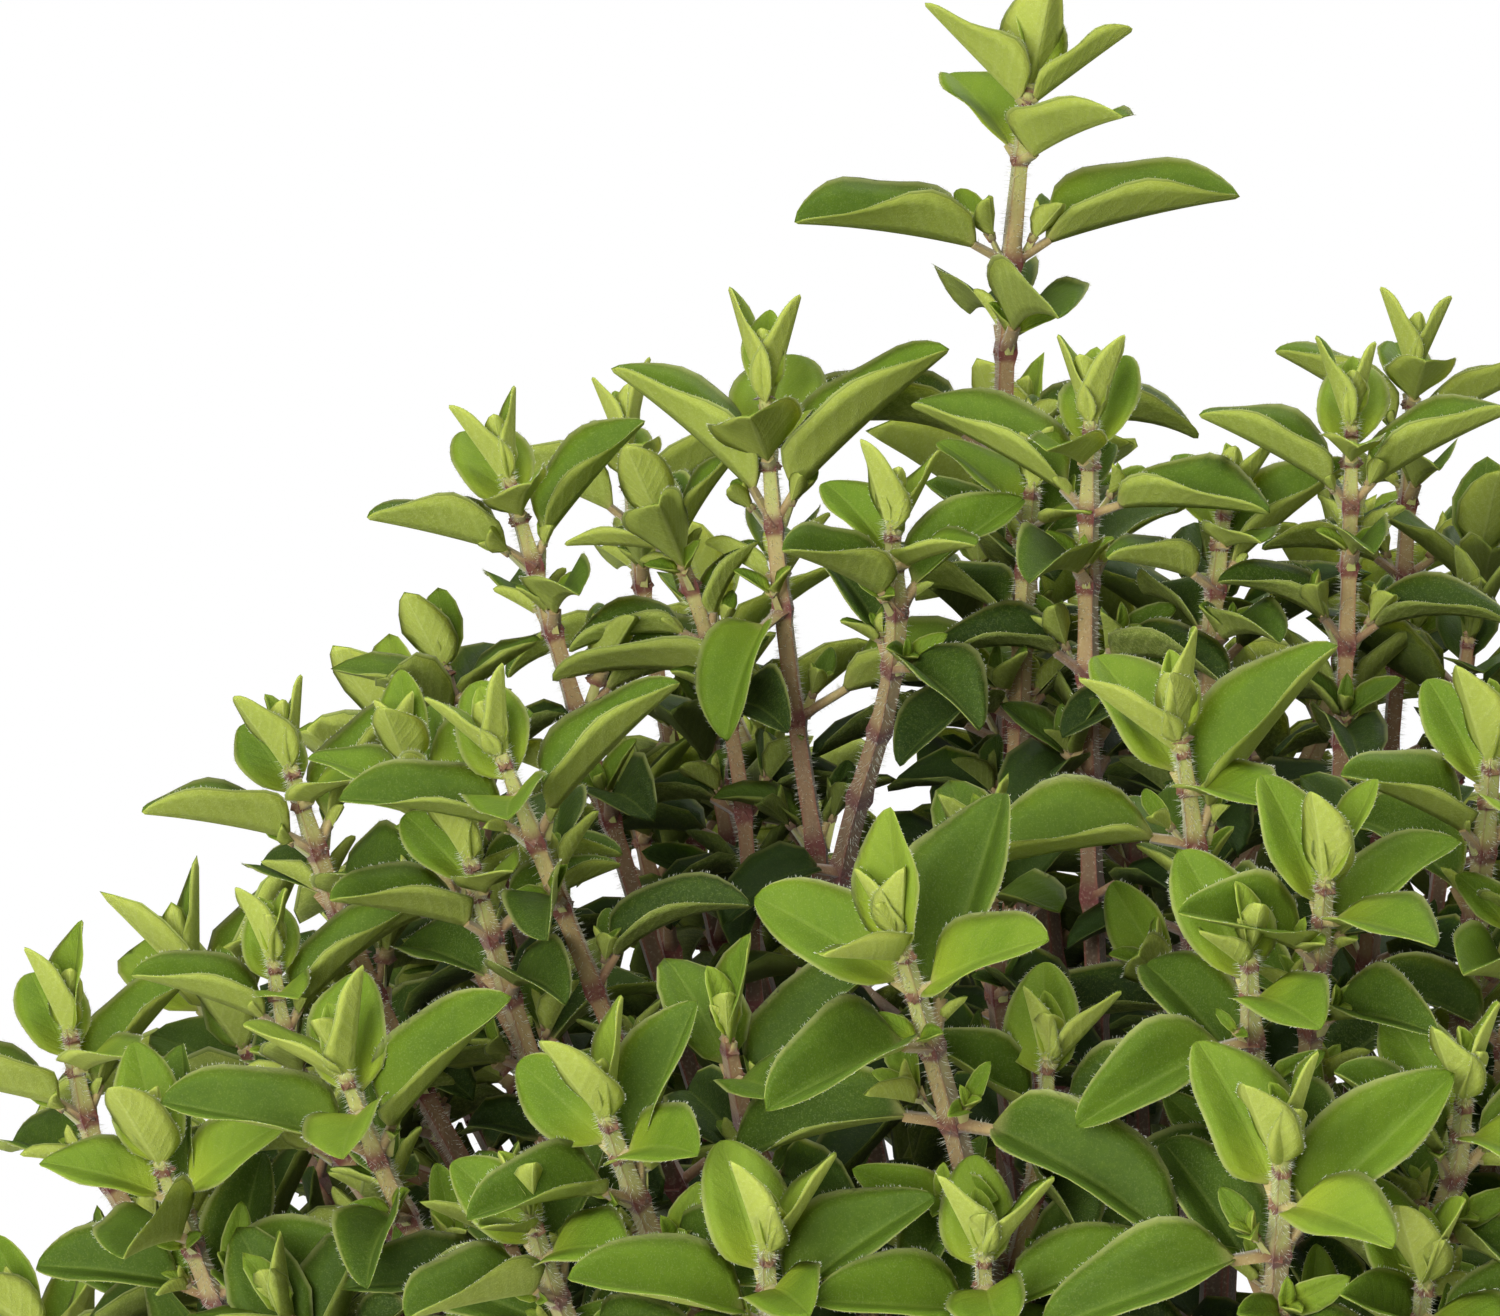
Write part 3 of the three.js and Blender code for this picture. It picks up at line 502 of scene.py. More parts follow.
def sheet_of(leaf):
    point, normal = midrib(leaf, [*BLADE_STATIONS, 1.0])
    half = leaf["width"] / 2 * outline(BLADE_STATIONS)[:, None]
    flat, lift = half * math.cos(leaf["fold"]) * leaf["side"], half * math.sin(leaf["fold"]) * normal[:2]
    left, right = point[:2] - flat + lift, point[:2] + flat + lift
    points = np.array([leaf["node"], left[0], point[0], right[0], left[1], point[1], right[1], point[2]])
    normals = np.array([leaf["rise"], *[normal[0]] * 3, *[normal[1]] * 4])
    return points, normals


# %% Testing one leaf against everything near it
SHEET_FACES = np.array([
    (0, 1, 2), (0, 2, 3), (1, 4, 5), (1, 5, 2), (2, 5, 6), (2, 6, 3), (4, 7, 5), (5, 7, 6),
])
RIM = [0, 1, 4, 7, 6, 3]
SHEET_EDGES = np.array([*zip(RIM, RIM[1:] + RIM[:1]), (0, 2), (2, 5), (5, 7), (1, 2), (2, 3), (4, 5), (5, 6)])
SLAB_FACES = np.array([*SHEET_FACES, *(SHEET_FACES + 8)] + [
    f for a, b in zip(RIM, RIM[1:] + RIM[:1]) for f in [(a, b, a + 8), (b, b + 8, a + 8)]])
SLAB_EDGES = np.array([*SHEET_EDGES, *(SHEET_EDGES + 8)] + [(a, a + 8) for a in RIM])
# Millimetres kept free round a leaf's rib, its margin and a stem: wide for the bare model's, less for others.
MODELLED_CLEAR, FINE_CLEAR = (1.35, 0.75, 2.3), (0.6, 0.35, 1.6)
# And inside, outside and above the pot's rim, over the soil, and as a first guess round stems and leaves.
RIM_INSIDE, RIM_OUTSIDE, RIM_ABOVE, SOIL_ABOVE, STEM_NEAR, LEAF_NEAR = 4, 3, 2.5, 3, 4, 3


def slab_of(leaf, sheet, rib, margin):
    points, normals = sheet
    thick = np.array([rib, margin, rib, margin, margin, rib, margin, margin])[:, None]
    thick = thick / math.cos(leaf["fold"])
    wider = points.copy()
    wider[[1, 4]] -= leaf["side"] * margin
    wider[[3, 6]] += leaf["side"] * margin
    wider[7] += unit(points[7] - points[5]) * margin
    return np.vstack([wider + normals * thick, wider - normals * thick])


def any_crossing(p, q, a, b, c):
    """True if any of the segments p-q meets any of the triangles a-b-c."""
    d = (q - p)[:, None]
    u, v = (b - a)[None], (c - a)[None]
    h = np.cross(d, v)
    det = (u * h).sum(-1)
    s = p[:, None] - a[None]
    w = np.cross(s, u)
    with np.errstate(divide="ignore", invalid="ignore"):
        x = (s * h).sum(-1) / det
        y = (d * w).sum(-1) / det
        t = (v * w).sum(-1) / det
        inside = (x >= 0) & (x <= 1) & (y >= 0) & (x + y <= 1)
        hit = (np.abs(det) >= 1e-12) & inside & (t >= 0) & (t <= 1)
    return bool(hit.any())


def room_of(leaf, points):
    centre = points.mean(0)
    return points, centre, np.linalg.norm(points - centre, axis=1).max(), leaf["shoot"]["index"]


class Crowd:
    """The leaves and stems placed so far, kept in arrays so that one test covers all neighbours."""

    def __init__(self, stems):
        self.sheets, self.centres, self.radii, self.owners = [], [], [], []
        self.stem_a = np.vstack([line[:-1] for _, line in stems])
        self.stem_b = np.vstack([line[1:] for _, line in stems])
        self.stem_owner = np.concatenate([[owner] * (len(line) - 1) for owner, line in stems])
        self.stem_step = np.linalg.norm(self.stem_b - self.stem_a, axis=1)

    def add(self, sheet, centre, radius, owner):
        self.sheets.append(sheet)
        self.centres.append(centre)
        self.radii.append(radius)
        self.owners.append(owner)

    def clear(self, leaf, rib, margin, stem):
        sheet = sheet_of(leaf)
        points, centre, radius, owner = room_of(leaf, sheet[0])
        reach = np.hypot(points[1:, 0], points[1:, 1])
        height = points[1:, 2]
        inner, outer = POT_RIM_RADIUS - POT_WALL - RIM_INSIDE, POT_RIM_RADIUS + RIM_OUTSIDE
        on_rim = (height < POT_HEIGHT + RIM_ABOVE) & (reach > inner) & (reach < outer)
        if on_rim.any() or ((height < SOIL_TOP + SOIL_ABOVE) & (reach <= inner)).any():
            return None
        slab = slab_of(leaf, sheet, stem, stem)
        corners = [slab[SLAB_FACES[:, i]] for i in range(3)]
        near = np.linalg.norm(self.stem_a - centre, axis=1) <= radius + self.stem_step + STEM_NEAR
        near &= self.stem_owner != owner
        if near.any() and any_crossing(self.stem_a[near], self.stem_b[near], *corners):
            return None
        if self.sheets:
            far = np.linalg.norm(np.array(self.centres) - centre, axis=1)
            near = far <= np.array(self.radii) + radius + LEAF_NEAR
            near = np.flatnonzero(near & (np.array(self.owners) != owner))
            if len(near):
                slab = slab_of(leaf, sheet, rib, margin)
                others = np.array([self.sheets[i] for i in near])
                ends = [others[:, SHEET_EDGES[:, i]].reshape(-1, 3) for i in range(2)]
                if any_crossing(*ends, *(slab[SLAB_FACES[:, i]] for i in range(3))):
                    return None
                corners = [others[:, SHEET_FACES[:, i]].reshape(-1, 3) for i in range(3)]
                if any_crossing(slab[SLAB_EDGES[:, 0]], slab[SLAB_EDGES[:, 1]], *corners):
                    return None
        return points, centre, radius, owner


# %% [markdown]
# ## Growing the leaves of the bare model
# The bare model carries the widest pair, the bud pair and the pair under the widest. Growing those first, in
# the same order and with the same draws, puts the fine leaves exactly where the bare ones are. The tips are
# then compared with the bare model's boxes, as a check that both plants are the same one.

# %% The modelled pairs
for index, one in enumerate(shoots):
    one["index"] = index
    random = draws(100 + index)
    pairs = range(LAST_MODELLED_PAIR + 1)
    one["jitter"] = [[[next(random) for _ in range(4)] for _ in range(2)] for _ in pairs]
    one["family"] = one["grows_from"] or one["name"]


def stem_line(one):
    return np.vstack([one["line"], along(one, pair_heights(one)[BUD_PAIR])[0]])


crowd = Crowd([(s["index"], stem_line(s)) for s in shoots])
leaves = []
for k in MODELLED_PAIRS:
    for one in shoots:
        for side in (0, 1):
            for bend in BENDS:
                leaf = make_leaf(one, k, side, one["jitter"][k][side], bend)
                kept = leaf and crowd.clear(leaf, *MODELLED_CLEAR)
                if kept:
                    crowd.add(*kept)
                    leaves.append(leaf)
                    break
print("modelled leaves:", len(leaves))
worst = 0
for family in {s["family"] for s in shoots}:
    lo, hi = (np.array(corner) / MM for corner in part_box(f"stem_{family}"))
    points = np.vstack([sheet_of(leaf)[0][1:] for leaf in leaves if leaf["shoot"]["family"] == family])
    worst = max(worst, (lo - points.min(0)).max(), (points.max(0) - hi).max())
print("furthest a leaf point lies outside its bare stem's box:", round(worst, 2), "mm")

# %% [markdown]
# ## More shoots between the modelled ones
# A pot of oregano has far more shoots than its outline needs: short ones stand in the shade of the tall ones
# and close the dome. A second golden-angle spiral, started a little round from the first and set a little
# deeper, gives them. They keep a distance to every other crown, so they fill gaps instead of crowding.

# %% Inner shoots
INNER_STEPS, INNER_CLEAR, INNER_LOWEST, INNER_START = 90, 19.0, -0.2, 1.3
INNER_VIGOUR, INNER_DEPTH = (0.7, 0.2), (5, 22)
# Steps that are left out, like those of the larger shoots, and keep others from taking their place.
INNER_OPEN = (4, 9)
# name, across, up, behind the dome's face, lean, twist, vigour: small ones seen between the front shoots
SMALL_FRONT = [
    ("tall_low", -15, 129, 24, 4, 50, 0.8),
    ("middle_back", 4, 127, 26, 6, 20, 0.78),
    ("far_back", -55, 133, 60, -6, 10, 0.8),
    ("skirt_bold", -19.5, 53, 4, -4, 10, 0.78),
    ("east_low", 34, 87, 10, 4, 60, 0.8),
    ("west_under", -70, 92, 16, -14, 35, 0.78),
    ("skirt_east", 24, 50, 6, 4, 30, 0.85),
]


def inner_shoots(others):
    random = draws(17)
    made = [sighted_shoot(*row) for row in SMALL_FRONT]
    left_out = []
    for i in range(INNER_STEPS):
        crown = spiral_crown(i, INNER_STEPS, INNER_LOWEST, INNER_START)
        twist, vigour = next(random) * 90, INNER_VIGOUR[0] + INNER_VIGOUR[1] * next(random)
        one = shoot(f"inner_{i}", crown, None, twist, vigour)
        crown -= one["axis"] * (INNER_DEPTH[0] + (INNER_DEPTH[1] - INNER_DEPTH[0]) * next(random))
        if far_from(others + made + left_out, crown, INNER_CLEAR):
            (left_out if i in INNER_OPEN else made).append(one)
    return made


inner = inner_shoots(shoots)
for one in inner:
    near = min(rooted, key=lambda s: np.linalg.norm(s["crown"] - one["crown"]))
    one["family"] = near["name"]
    one["inner"] = True
    one["index"] = len(shoots)
    grow_stem(one, None, grown)
    shoots.append(one)
print("inner shoots:", len(inner), "all shoots:", len(shoots))

# %% [markdown]
# ## The other leaf pairs
# Between and below the modelled pairs sit the crown pair, the small pairs of the bud, and the old pairs that
# hang in the shade. They are grown last, each one bent clear of what is already there.

# %% Every other pair of every shoot
LAST_PAIR = len(BLADE_LENGTH) - 1
OTHER_PAIRS = [3, 6, 7, 8, 9]
# Shoots whose crown and bud stand as their table says, not bent or opened by chance.
FITTED = ("crest", "brow", "chin", "cheek", "bold", "middle", "east")
# Old pairs that have fallen off and leave the stem behind them open.
FALLEN = {"crest_back": (6, 7)}
# How large the old pairs of the crest's open stem and their side buds are, how dark its leaves get at most
# from age and painted shade, a cap that keeps them painted light, and how steep its left bud leaf stands.
CREST_PAIR_SIZE, CREST_BUD_SIZE, CREST_PAINTED_LIGHT_CAP = {6: 1.22, 7: 0.55}, 0.55, 0.36
CREST_BUD_STEEP = math.radians(78)
rng = np.random.default_rng(11)
crowd_all = Crowd([(s["index"], stem_line(s)) for s in shoots])
for leaf in leaves:
    crowd_all.add(*room_of(leaf, sheet_of(leaf)[0]))


def grow_pair(one, k, bends, keep_anyway):
    for side in (0, 1):
        jitter = rng.random(4)
        if k in FALLEN.get(one["name"], ()):
            continue
        for bend in bends:
            leaf = make_leaf(one, k, side, jitter, bend)
            kept = leaf and crowd_all.clear(leaf, *FINE_CLEAR)
            if kept:
                break
        if leaf and (kept or keep_anyway):
            if kept:
                crowd_all.add(*kept)
            leaves.append(leaf)


for k in MODELLED_PAIRS:
    for one in inner:
        grow_pair(one, k, BENDS, k == BUD_PAIR)
for k in OTHER_PAIRS:
    for one in shoots:
        crest_low = k in CREST_PAIR_SIZE and one["name"] == "crest"
        fitted = crest_low or (k == CROWN_PAIR and one["name"] in FITTED)
        grow_pair(one, k, BENDS[:1] if fitted else BENDS, crest_low or k == CROWN_PAIR)
for k in (1, 0):
    for one in shoots:
        grow_pair(one, k, BENDS[:1], True)
print("leaves on the main stems:", len(leaves))

# %% [markdown]
# ## Side buds
# In the corner between each leaf and the stem sits a side shoot in miniature: a pair of leaves set crosswise
# to the big one, with a second pair inside it. They are what makes oregano look so full. The older the node,
# the larger they are.

# %% Miniature shoots in the leaf corners
BUD_LENGTH = {4: 5.0, 5: 6.5, 6: 9.5, 7: 11, 8: 9}
# The least of a number that chance sets, and how much it may add.
BUD_SIZES, BUD_LEANS, BUD_PITCH = (0.6, 0.6), (0.35, 0.3), (42, 16)
BUD_RISES, BUD_STRAYS, BUD_FOOT, BUD_STALK, BUD_NECK = 0.9, 0.3, 0.8, (0.8, 0.3), 0.1
# Buds longer than this carry a second pair, crosswise to the first.
INNER_PAIR_FROM, INNER_PAIR_UP, INNER_PAIR_PITCH, INNER_PAIR_SIZE, INNER_PAIR_AGE = 4.2, 0.12, 70, 0.55, 0.05
SMALL_ARCH, SMALL_STALK, SMALL_FOLD, SMALL_WIDTH = 10, 0.16, (32, 10), (0.56, 0.1)
sprigs = []


def vary(least, more, *count):
    return least + more * rng.random(*count)


def small_leaf(one, node, rise, out, pitch, length, k, age):
    return dict(
        shoot=one, k=k, node=node, out=out, rise=rise, side=np.cross(rise, out),
        pitch=math.radians(pitch), arch=math.radians(SMALL_ARCH), fold=math.radians(vary(*SMALL_FOLD)),
        stalk=SMALL_STALK * length, steeper=0.0, length=length, width=length * vary(*SMALL_WIDTH), age=age,
    )


def side_bud(leaf):
    k, one = leaf["k"], leaf["shoot"]
    length = BUD_LENGTH[k] * one["vigour"] * vary(*BUD_SIZES)
    if one["name"] == "crest" and k in CREST_PAIR_SIZE:
        length *= CREST_BUD_SIZE
    axis = leaf["rise"] * BUD_RISES + leaf["out"] * vary(*BUD_LEANS)
    axis = unit(axis + leaf["side"] * BUD_STRAYS * (rng.random() - 0.5))
    foot = leaf["node"] + leaf["out"] * BUD_FOOT
    top = foot + axis * (BUD_STALK[0] + BUD_STALK[1] * length)
    across = unit(leaf["side"] - axis * (axis @ leaf["side"]))
    inward = np.cross(axis, across)
    sprigs.append(dict(shoot=one, path=[foot, top + axis * BUD_NECK * length]))
    made = []
    for direction in (across, -across):
        pitch = vary(*BUD_PITCH)
        made.append(small_leaf(one, top, axis, direction, pitch, length, k, 0.12 + 0.05 * k * rng.random()))
    if length > INNER_PAIR_FROM:
        tip, size = top + axis * INNER_PAIR_UP * length, length * INNER_PAIR_SIZE
        for direction in (inward, -inward):
            made.append(small_leaf(one, tip, axis, direction, INNER_PAIR_PITCH, size, k, INNER_PAIR_AGE))
    return made


# Deep in the plant few buds are ever seen, so only this share of them is grown.
HIDDEN_BUDS, LAST_SEEN_PAIR, SEEN_INNER_PAIR = 0.3, 7, 6
small = []
for leaf in [leaf for leaf in leaves if leaf["k"] in BUD_LENGTH]:
    hidden = leaf["k"] > LAST_SEEN_PAIR or (leaf["shoot"].get("inner") and leaf["k"] != SEEN_INNER_PAIR)
    if not hidden or rng.random() < HIDDEN_BUDS:
        small += side_bud(leaf)
print("side buds:", len(sprigs), "with", len(small), "small leaves")

# %% [markdown]
# ## One leaf in detail
# A real blade is a third of a millimetre thick, keeled along its midrib and slightly cupped on each side. A
# grid of points is bent along the midrib's arch, folded, and then given an upper and a lower face that share
# their margin. Done for all leaves at once with arrays, this takes a second. Modelling one leaf and copying
# it would be simpler, but no two leaves of a plant are alike.

# %% The grid of a blade, and its faces
# Six grids, from the finest to the coarsest: places along the midrib, and places across from -1 to 1.
SEVEN, FIVE, THREE = [-1, -0.6, -0.2, 0, 0.2, 0.6, 1], [-1, -0.5, 0, 0.5, 1], [-1, 0, 1]
DETAILS = dict(
    hero=([0, 0.03, 0.07, 0.13, 0.2, 0.29, 0.39, 0.5, 0.6, 0.7, 0.79, 0.87, 0.93, 0.975], SEVEN),
    fine=([0, 0.04, 0.1, 0.19, 0.31, 0.44, 0.57, 0.7, 0.82, 0.91, 0.97], SEVEN),
    shaded=([0, 0.09, 0.26, 0.5, 0.72, 0.9], FIVE),
    small=([0, 0.08, 0.22, 0.42, 0.64, 0.82, 0.94], FIVE),
    plain=([0, 0.2, 0.52, 0.82], FIVE),
    behind=([0, 0.2, 0.52, 0.82], THREE),
)
BLADE_THICKNESS, MARGIN_THINNER = 0.34, 0.5
KEEL_DEPTH, KEEL_WIDTH, KEEL_FADES = 0.22, 0.12, 0.8
# A blade starts narrow at its stalk, is never narrower than this there, and is folded least at the tip.
BASE_START, BASE_WIDENS, BASE_LEAST = 0.5, 5, 0.4
FOLD_AT_BASE, FOLD_FADES = 1.15, 0.3
# Waves in the margin and over the blade: how strong, how close, and how far apart the two halves swing.
MARGIN_WAVE, MARGIN_WAVES, RIPPLE, RIPPLES, RIPPLE_SHIFT = 0.06, 6, 0.09, 9, 1.7
# Each half of a blade leaves a rounded keel, rises more steeply than the fold and eases off to the margin.
HALF_STEEPER, KEEL_ROUNDED, KEEL_REACH, MARGIN_EASED = 1.2, 0.9, 0.12, 0.5


def fine_outline(v):
    """Rounded at the base, nearly as wide at two thirds as at the widest place, and bluntly pointed."""
    return np.sin(np.pi * np.clip(v, 0, 1) ** 0.75) ** 0.62


def cross_section(fold_of, cup, lanes):
    """Where the lanes lie across and above the keel, for a half blade one wide; fold_of folds a side."""
    step, middle = np.diff(lanes), (lanes[1:] + lanes[:-1]) / 2
    far = np.abs(middle)
    share = HALF_STEEPER - KEEL_ROUNDED * np.exp(-far / KEEL_REACH) - MARGIN_EASED * cup * far**2
    slope = fold_of(np.sign(middle)) * share
    moves = np.stack([step * np.cos(slope), step * np.sin(slope) * np.sign(middle)])
    sums = np.concatenate([np.zeros_like(moves[..., :1]), np.cumsum(moves, axis=-1)], axis=-1)
    keel = len(lanes) // 2
    return sums - sums[..., keel : keel + 1]


def blade_faces(rows, lanes):
    count_rows, count_lanes = len(rows), len(lanes)
    top = np.arange(count_rows * count_lanes).reshape(count_rows, count_lanes)
    low = top.copy()
    low[:, 1:-1] = top.max() + 1 + np.arange(count_rows * (count_lanes - 2)).reshape(count_rows, -1)
    tip = low.max() + 1
    quads, triangles = [], []
    for r in range(count_rows - 1):
        for s in range(count_lanes - 1):
            quads.append((top[r, s], top[r + 1, s], top[r + 1, s + 1], top[r, s + 1]))
            quads.append((low[r, s], low[r, s + 1], low[r + 1, s + 1], low[r + 1, s]))
    for s in range(count_lanes - 1):
        triangles.append((top[-1, s], tip, top[-1, s + 1]))
        triangles.append((low[-1, s], low[-1, s + 1], tip))
    for s in range(1, count_lanes - 2):
        quads.append((top[0, s], top[0, s + 1], low[0, s + 1], low[0, s]))
    triangles.append((top[0, 0], top[0, 1], low[0, 1]))
    triangles.append((top[0, -2], top[0, -1], low[0, -2]))
    return np.array(quads), np.array(triangles)


def blade_points(many, rows, lanes):
    def each(key):
        return np.array([leaf[key] for leaf in many])[:, None, None]

    v, s = np.array(rows)[None, :, None], np.array(lanes)[None, None, :]
    v = np.concatenate([v, [[[1.0]]]], axis=1)
    pitch, arch, length = each("pitch"), np.maximum(each("arch"), 1e-3), each("length")
    turned = pitch - arch * v
    steep = pitch + each("steeper")
    run = each("stalk") * np.cos(steep) + length / arch * (np.sin(pitch) - np.sin(turned))
    lift = each("stalk") * np.sin(steep) + length / arch * (np.cos(turned) - np.cos(pitch))
    share = np.clip(v, 0, 1)
    half = each("width") / 2 * fine_outline(share) * np.minimum(1, BASE_START + share * BASE_WIDENS)
    half = np.maximum(half, BASE_LEAST * (1 - share))
    half = half * (1 + MARGIN_WAVE * np.sin(MARGIN_WAVES * v + MARGIN_WAVES * each("seed")) * np.sign(s))
    fold, lopside = each("fold") * (FOLD_AT_BASE - FOLD_FADES * v), each("lopside")
    flat, rise = cross_section(lambda sign: fold + lopside * sign, each("cup"), np.array(lanes))
    ripple = RIPPLE * np.sin(RIPPLES * v + RIPPLES * each("seed") + RIPPLE_SHIFT * np.sign(s)) * s * s
    flat, rise = half * flat, half * (rise + ripple)
    side, turned = each("side"), turned[..., None]
    up = each("rise") * np.cos(turned) - each("out") * np.sin(turned)
    turn = (each("twist") * v + each("roll"))[..., None]
    side, up = side * np.cos(turn) + up * np.sin(turn), up * np.cos(turn) - side * np.sin(turn)
    sway = (each("sway") * length * v * v)[..., None]
    middle = each("node") + each("out") * run[..., None] + each("rise") * lift[..., None]
    middle = middle + each("side") * sway + side * flat[..., None] + up * rise[..., None]
    normal = np.cross(np.gradient(middle, axis=1), np.gradient(middle, axis=2))
    normal /= np.linalg.norm(normal, axis=-1, keepdims=True) + 1e-9
    thick = BLADE_THICKNESS / 2 * (1 - MARGIN_THINNER * np.abs(s)) * np.ones_like(v)
    keel = KEEL_DEPTH * np.exp(-(s / KEEL_WIDTH) ** 2) * (1 - KEEL_FADES * v)
    top, low = middle + normal * thick[..., None], middle - normal * (thick + keel)[..., None]
    top[:, :, [0, -1]] = middle[:, :, [0, -1]]
    tip = middle[:, -1:, len(lanes) // 2]
    parts = [top[:, :-1], low[:, :-1, 1:-1], tip]
    points = np.concatenate([part.reshape(len(many), -1, 3) for part in parts], axis=1)
    across, along_it = np.meshgrid(lanes, rows)
    under = np.where(np.abs(across) > 0.99, 0.5, 0.0)
    blade = np.stack([across, along_it, under], -1).reshape(-1, 3)
    inside = np.stack([across, along_it, np.ones_like(across)], -1)[:, 1:-1].reshape(-1, 3)
    blade = np.concatenate([blade, inside, [[0, 1, 0.5]]])
    return points, np.broadcast_to(blade, points.shape)


# %% Each leaf's age and painted shade, how it turns to the light, and its own small irregularities
# Painted shade: how fast it grows with a leaf's depth in the dome, how much more deep shoots get, and the
# most.
SHADE_GROWS, DEEP_SHADE, MOST_SHADE = 1.02, 0.15, 0.6
AGE_STRAYS, LOPSIDE_STRAYS, CUPS, TWIST_STRAYS, SWAY_STRAYS = 0.1, 14, (0.6, 0.8), 34, 0.16
WIDER, MORE_FOLD, MOST_ROLL = 0.96, math.radians(2), math.radians(13)
BUD_CLOSED, BUD_WIDER, BUD_FLATTER, BUD_ROLL = math.radians(9), 1.35, math.radians(6), math.radians(28)
BUD_OPENS = math.radians(38)
# How much wider and longer the young leaves of the tallest shoot are than those of the others.
TALL_FULLER = {1: (1.5, 1.25), 2: (1.7, 1.04), 3: (1.08, 1)}
LIGHT_OUTWARD, TOWARDS_LIGHT = 0.6, np.array([-0.1, -0.6, 0])
AGE_OF_PAIR = [0.0, 0.03, 0.1, 0.22, 0.42, 0.58, 0.7, 0.8, 0.88, 0.94, 1.0]


def settle(leaf):
    own = rng.random(6)
    k, name = leaf["k"], leaf["shoot"]["name"]
    # Painted shade from the leaf's depth is added to its age, so deep leaves also take the darker green.
    depth = 1 - np.linalg.norm(to_ball(leaf["node"])) * SHADE_GROWS
    shade = np.clip(depth + DEEP_SHADE * leaf["shoot"]["deep"], 0, MOST_SHADE)
    in_side_bud = "age" in leaf
    leaf.setdefault("age", AGE_OF_PAIR[k] + AGE_STRAYS * (own[0] - 0.5))
    leaf["age"] = float(np.clip(leaf["age"] + shade, 0, 1))
    leaf["seed"] = own[1]
    leaf["lopside"] = math.radians(LOPSIDE_STRAYS * (own[2] - 0.5))
    leaf["cup"] = CUPS[0] + CUPS[1] * own[3]
    leaf["twist"] = math.radians(TWIST_STRAYS * (own[4] - 0.5))
    leaf["sway"] = SWAY_STRAYS * (own[5] - 0.5)
    leaf["shade"] = float(shade)
    leaf["width"] *= WIDER
    leaf["fold"] += MORE_FOLD
    if k == BUD_PAIR and name != "tall":
        leaf["pitch"] += BUD_CLOSED - (0 if name in FITTED else BUD_OPENS * own[5] ** 3)
        leaf["width"] *= BUD_WIDER
    if k <= BUD_PAIR:
        leaf["fold"] -= BUD_FLATTER
    if name == "tall":
        wider, longer = TALL_FULLER.get(k, (1, 1))
        leaf["width"] *= wider
        leaf["length"] *= longer
    if name == "crest" and not in_side_bud:
        for part in ("width", "length", "stalk"):
            leaf[part] *= CREST_PAIR_SIZE.get(k, 1)
        # Painted light: the crest's leaves are capped in age and painted shade, so they stay light.
        leaf["age"] = min(leaf["age"], CREST_PAINTED_LIGHT_CAP)
        if k == BUD_PAIR and leaf["out"][0] < 0:
            leaf["pitch"] = max(leaf["pitch"], CREST_BUD_STEEP)
    light = leaf["shoot"]["crown"] * [1, 1, 0] / DOME_RADIUS * LIGHT_OUTWARD + TOWARDS_LIGHT
    most = BUD_ROLL if k <= BUD_PAIR else -MOST_ROLL
    leaf["roll"] = most * float(np.clip(light @ leaf["side"], -1, 1))


FRONT_DEPTH = 25.0
FRONT_NAMES = {shape[0] for shape in FRONT_SHOOTS + SMALL_FRONT}
for one in shoots:
    one["near"] = one["crown"][1] < FRONT_DEPTH
    one["deep"] = one["name"].startswith("inner")
for leaf in leaves + small:
    settle(leaf)
SMALL_BLADE, SMALLEST_FINE, OLDEST_FINE = 7.5, 4.0, 6


def detail_of(leaf):
    one = leaf["shoot"]
    if leaf["length"] <= SMALL_BLADE:
        if one["name"] in FRONT_NAMES and leaf["length"] > SMALLEST_FINE:
            return "small"
        return "plain" if one["near"] else "behind"
    if leaf["k"] > OLDEST_FINE or one["deep"]:
        return "shaded"
    return "hero" if one["name"] in FRONT_NAMES else "fine" if one["near"] else "shaded"


sorted_leaves = {kind: [] for kind in DETAILS}
for leaf in leaves + small:
    sorted_leaves[detail_of(leaf)].append(leaf)
print("leaves:", {kind: len(many) for kind, many in sorted_leaves.items()})

# %% [markdown]
# ## Meshes from arrays
# Blender takes points and faces as plain lists. A small basket gathers the points, faces and painted numbers
# of one piece, so that all the leaves of one stem end up in one mesh that can ride and be dressed as one.


# %% A basket of points and faces
class Basket:
    def __init__(self):
        self.points, self.faces, self.paint, self.count = [], [], {}, 0

    def add(self, points, faces, **paint):
        """Many copies at once: points (copies, n, 3), faces as arrays of indices into one copy."""
        copies, n = points.shape[:2]
        start = self.count + np.arange(copies)[:, None, None] * n
        for face in faces:
            self.faces += (face[None] + start).reshape(-1, face.shape[1]).tolist()
        self.points.append(points.reshape(-1, 3))
        for name, values in paint.items():
            self.paint.setdefault(name, []).append(np.broadcast_to(values, points.shape).reshape(-1, 3))
        self.count += copies * n

    def piece(self, name, material, node, slot):
        mesh = bpy.data.meshes.new(name)
        mesh.from_pydata((np.vstack(self.points) * MM).tolist(), [], self.faces)
        for paint, values in self.paint.items():
            layer = mesh.attributes.new(paint, "FLOAT_VECTOR", "POINT")
            layer.data.foreach_set("vector", np.vstack(values).astype(np.float32).ravel())
        mesh.shade_smooth()
        mesh.materials.append(material)
        made = linked(name, mesh)
        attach(made, "root")
        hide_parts(node)
        return made


def triangles_of(obj):
    obj.data.calc_loop_triangles()
    return len(obj.data.loop_triangles)


def add_blades(basket, many, detail):
    if not many:
        return
    quads, triangles = blade_faces(*detail)
    points, blade = blade_points(many, *detail)
    life = np.array([(leaf["age"], leaf["seed"], leaf["shade"]) for leaf in many])[:, None]
    basket.add(points, [quads, triangles], blade=blade, life=life)


# %% [markdown]
# ## Stems in detail
# Mint-family stems are square, with a raised rib at each corner, and swell into a dark ring where a leaf pair
# sits. Rings of eight points are threaded on the centre line: four on the ribs, four on the hollow sides.
# The rings stand close together only at the nodes, where the shape changes fast.

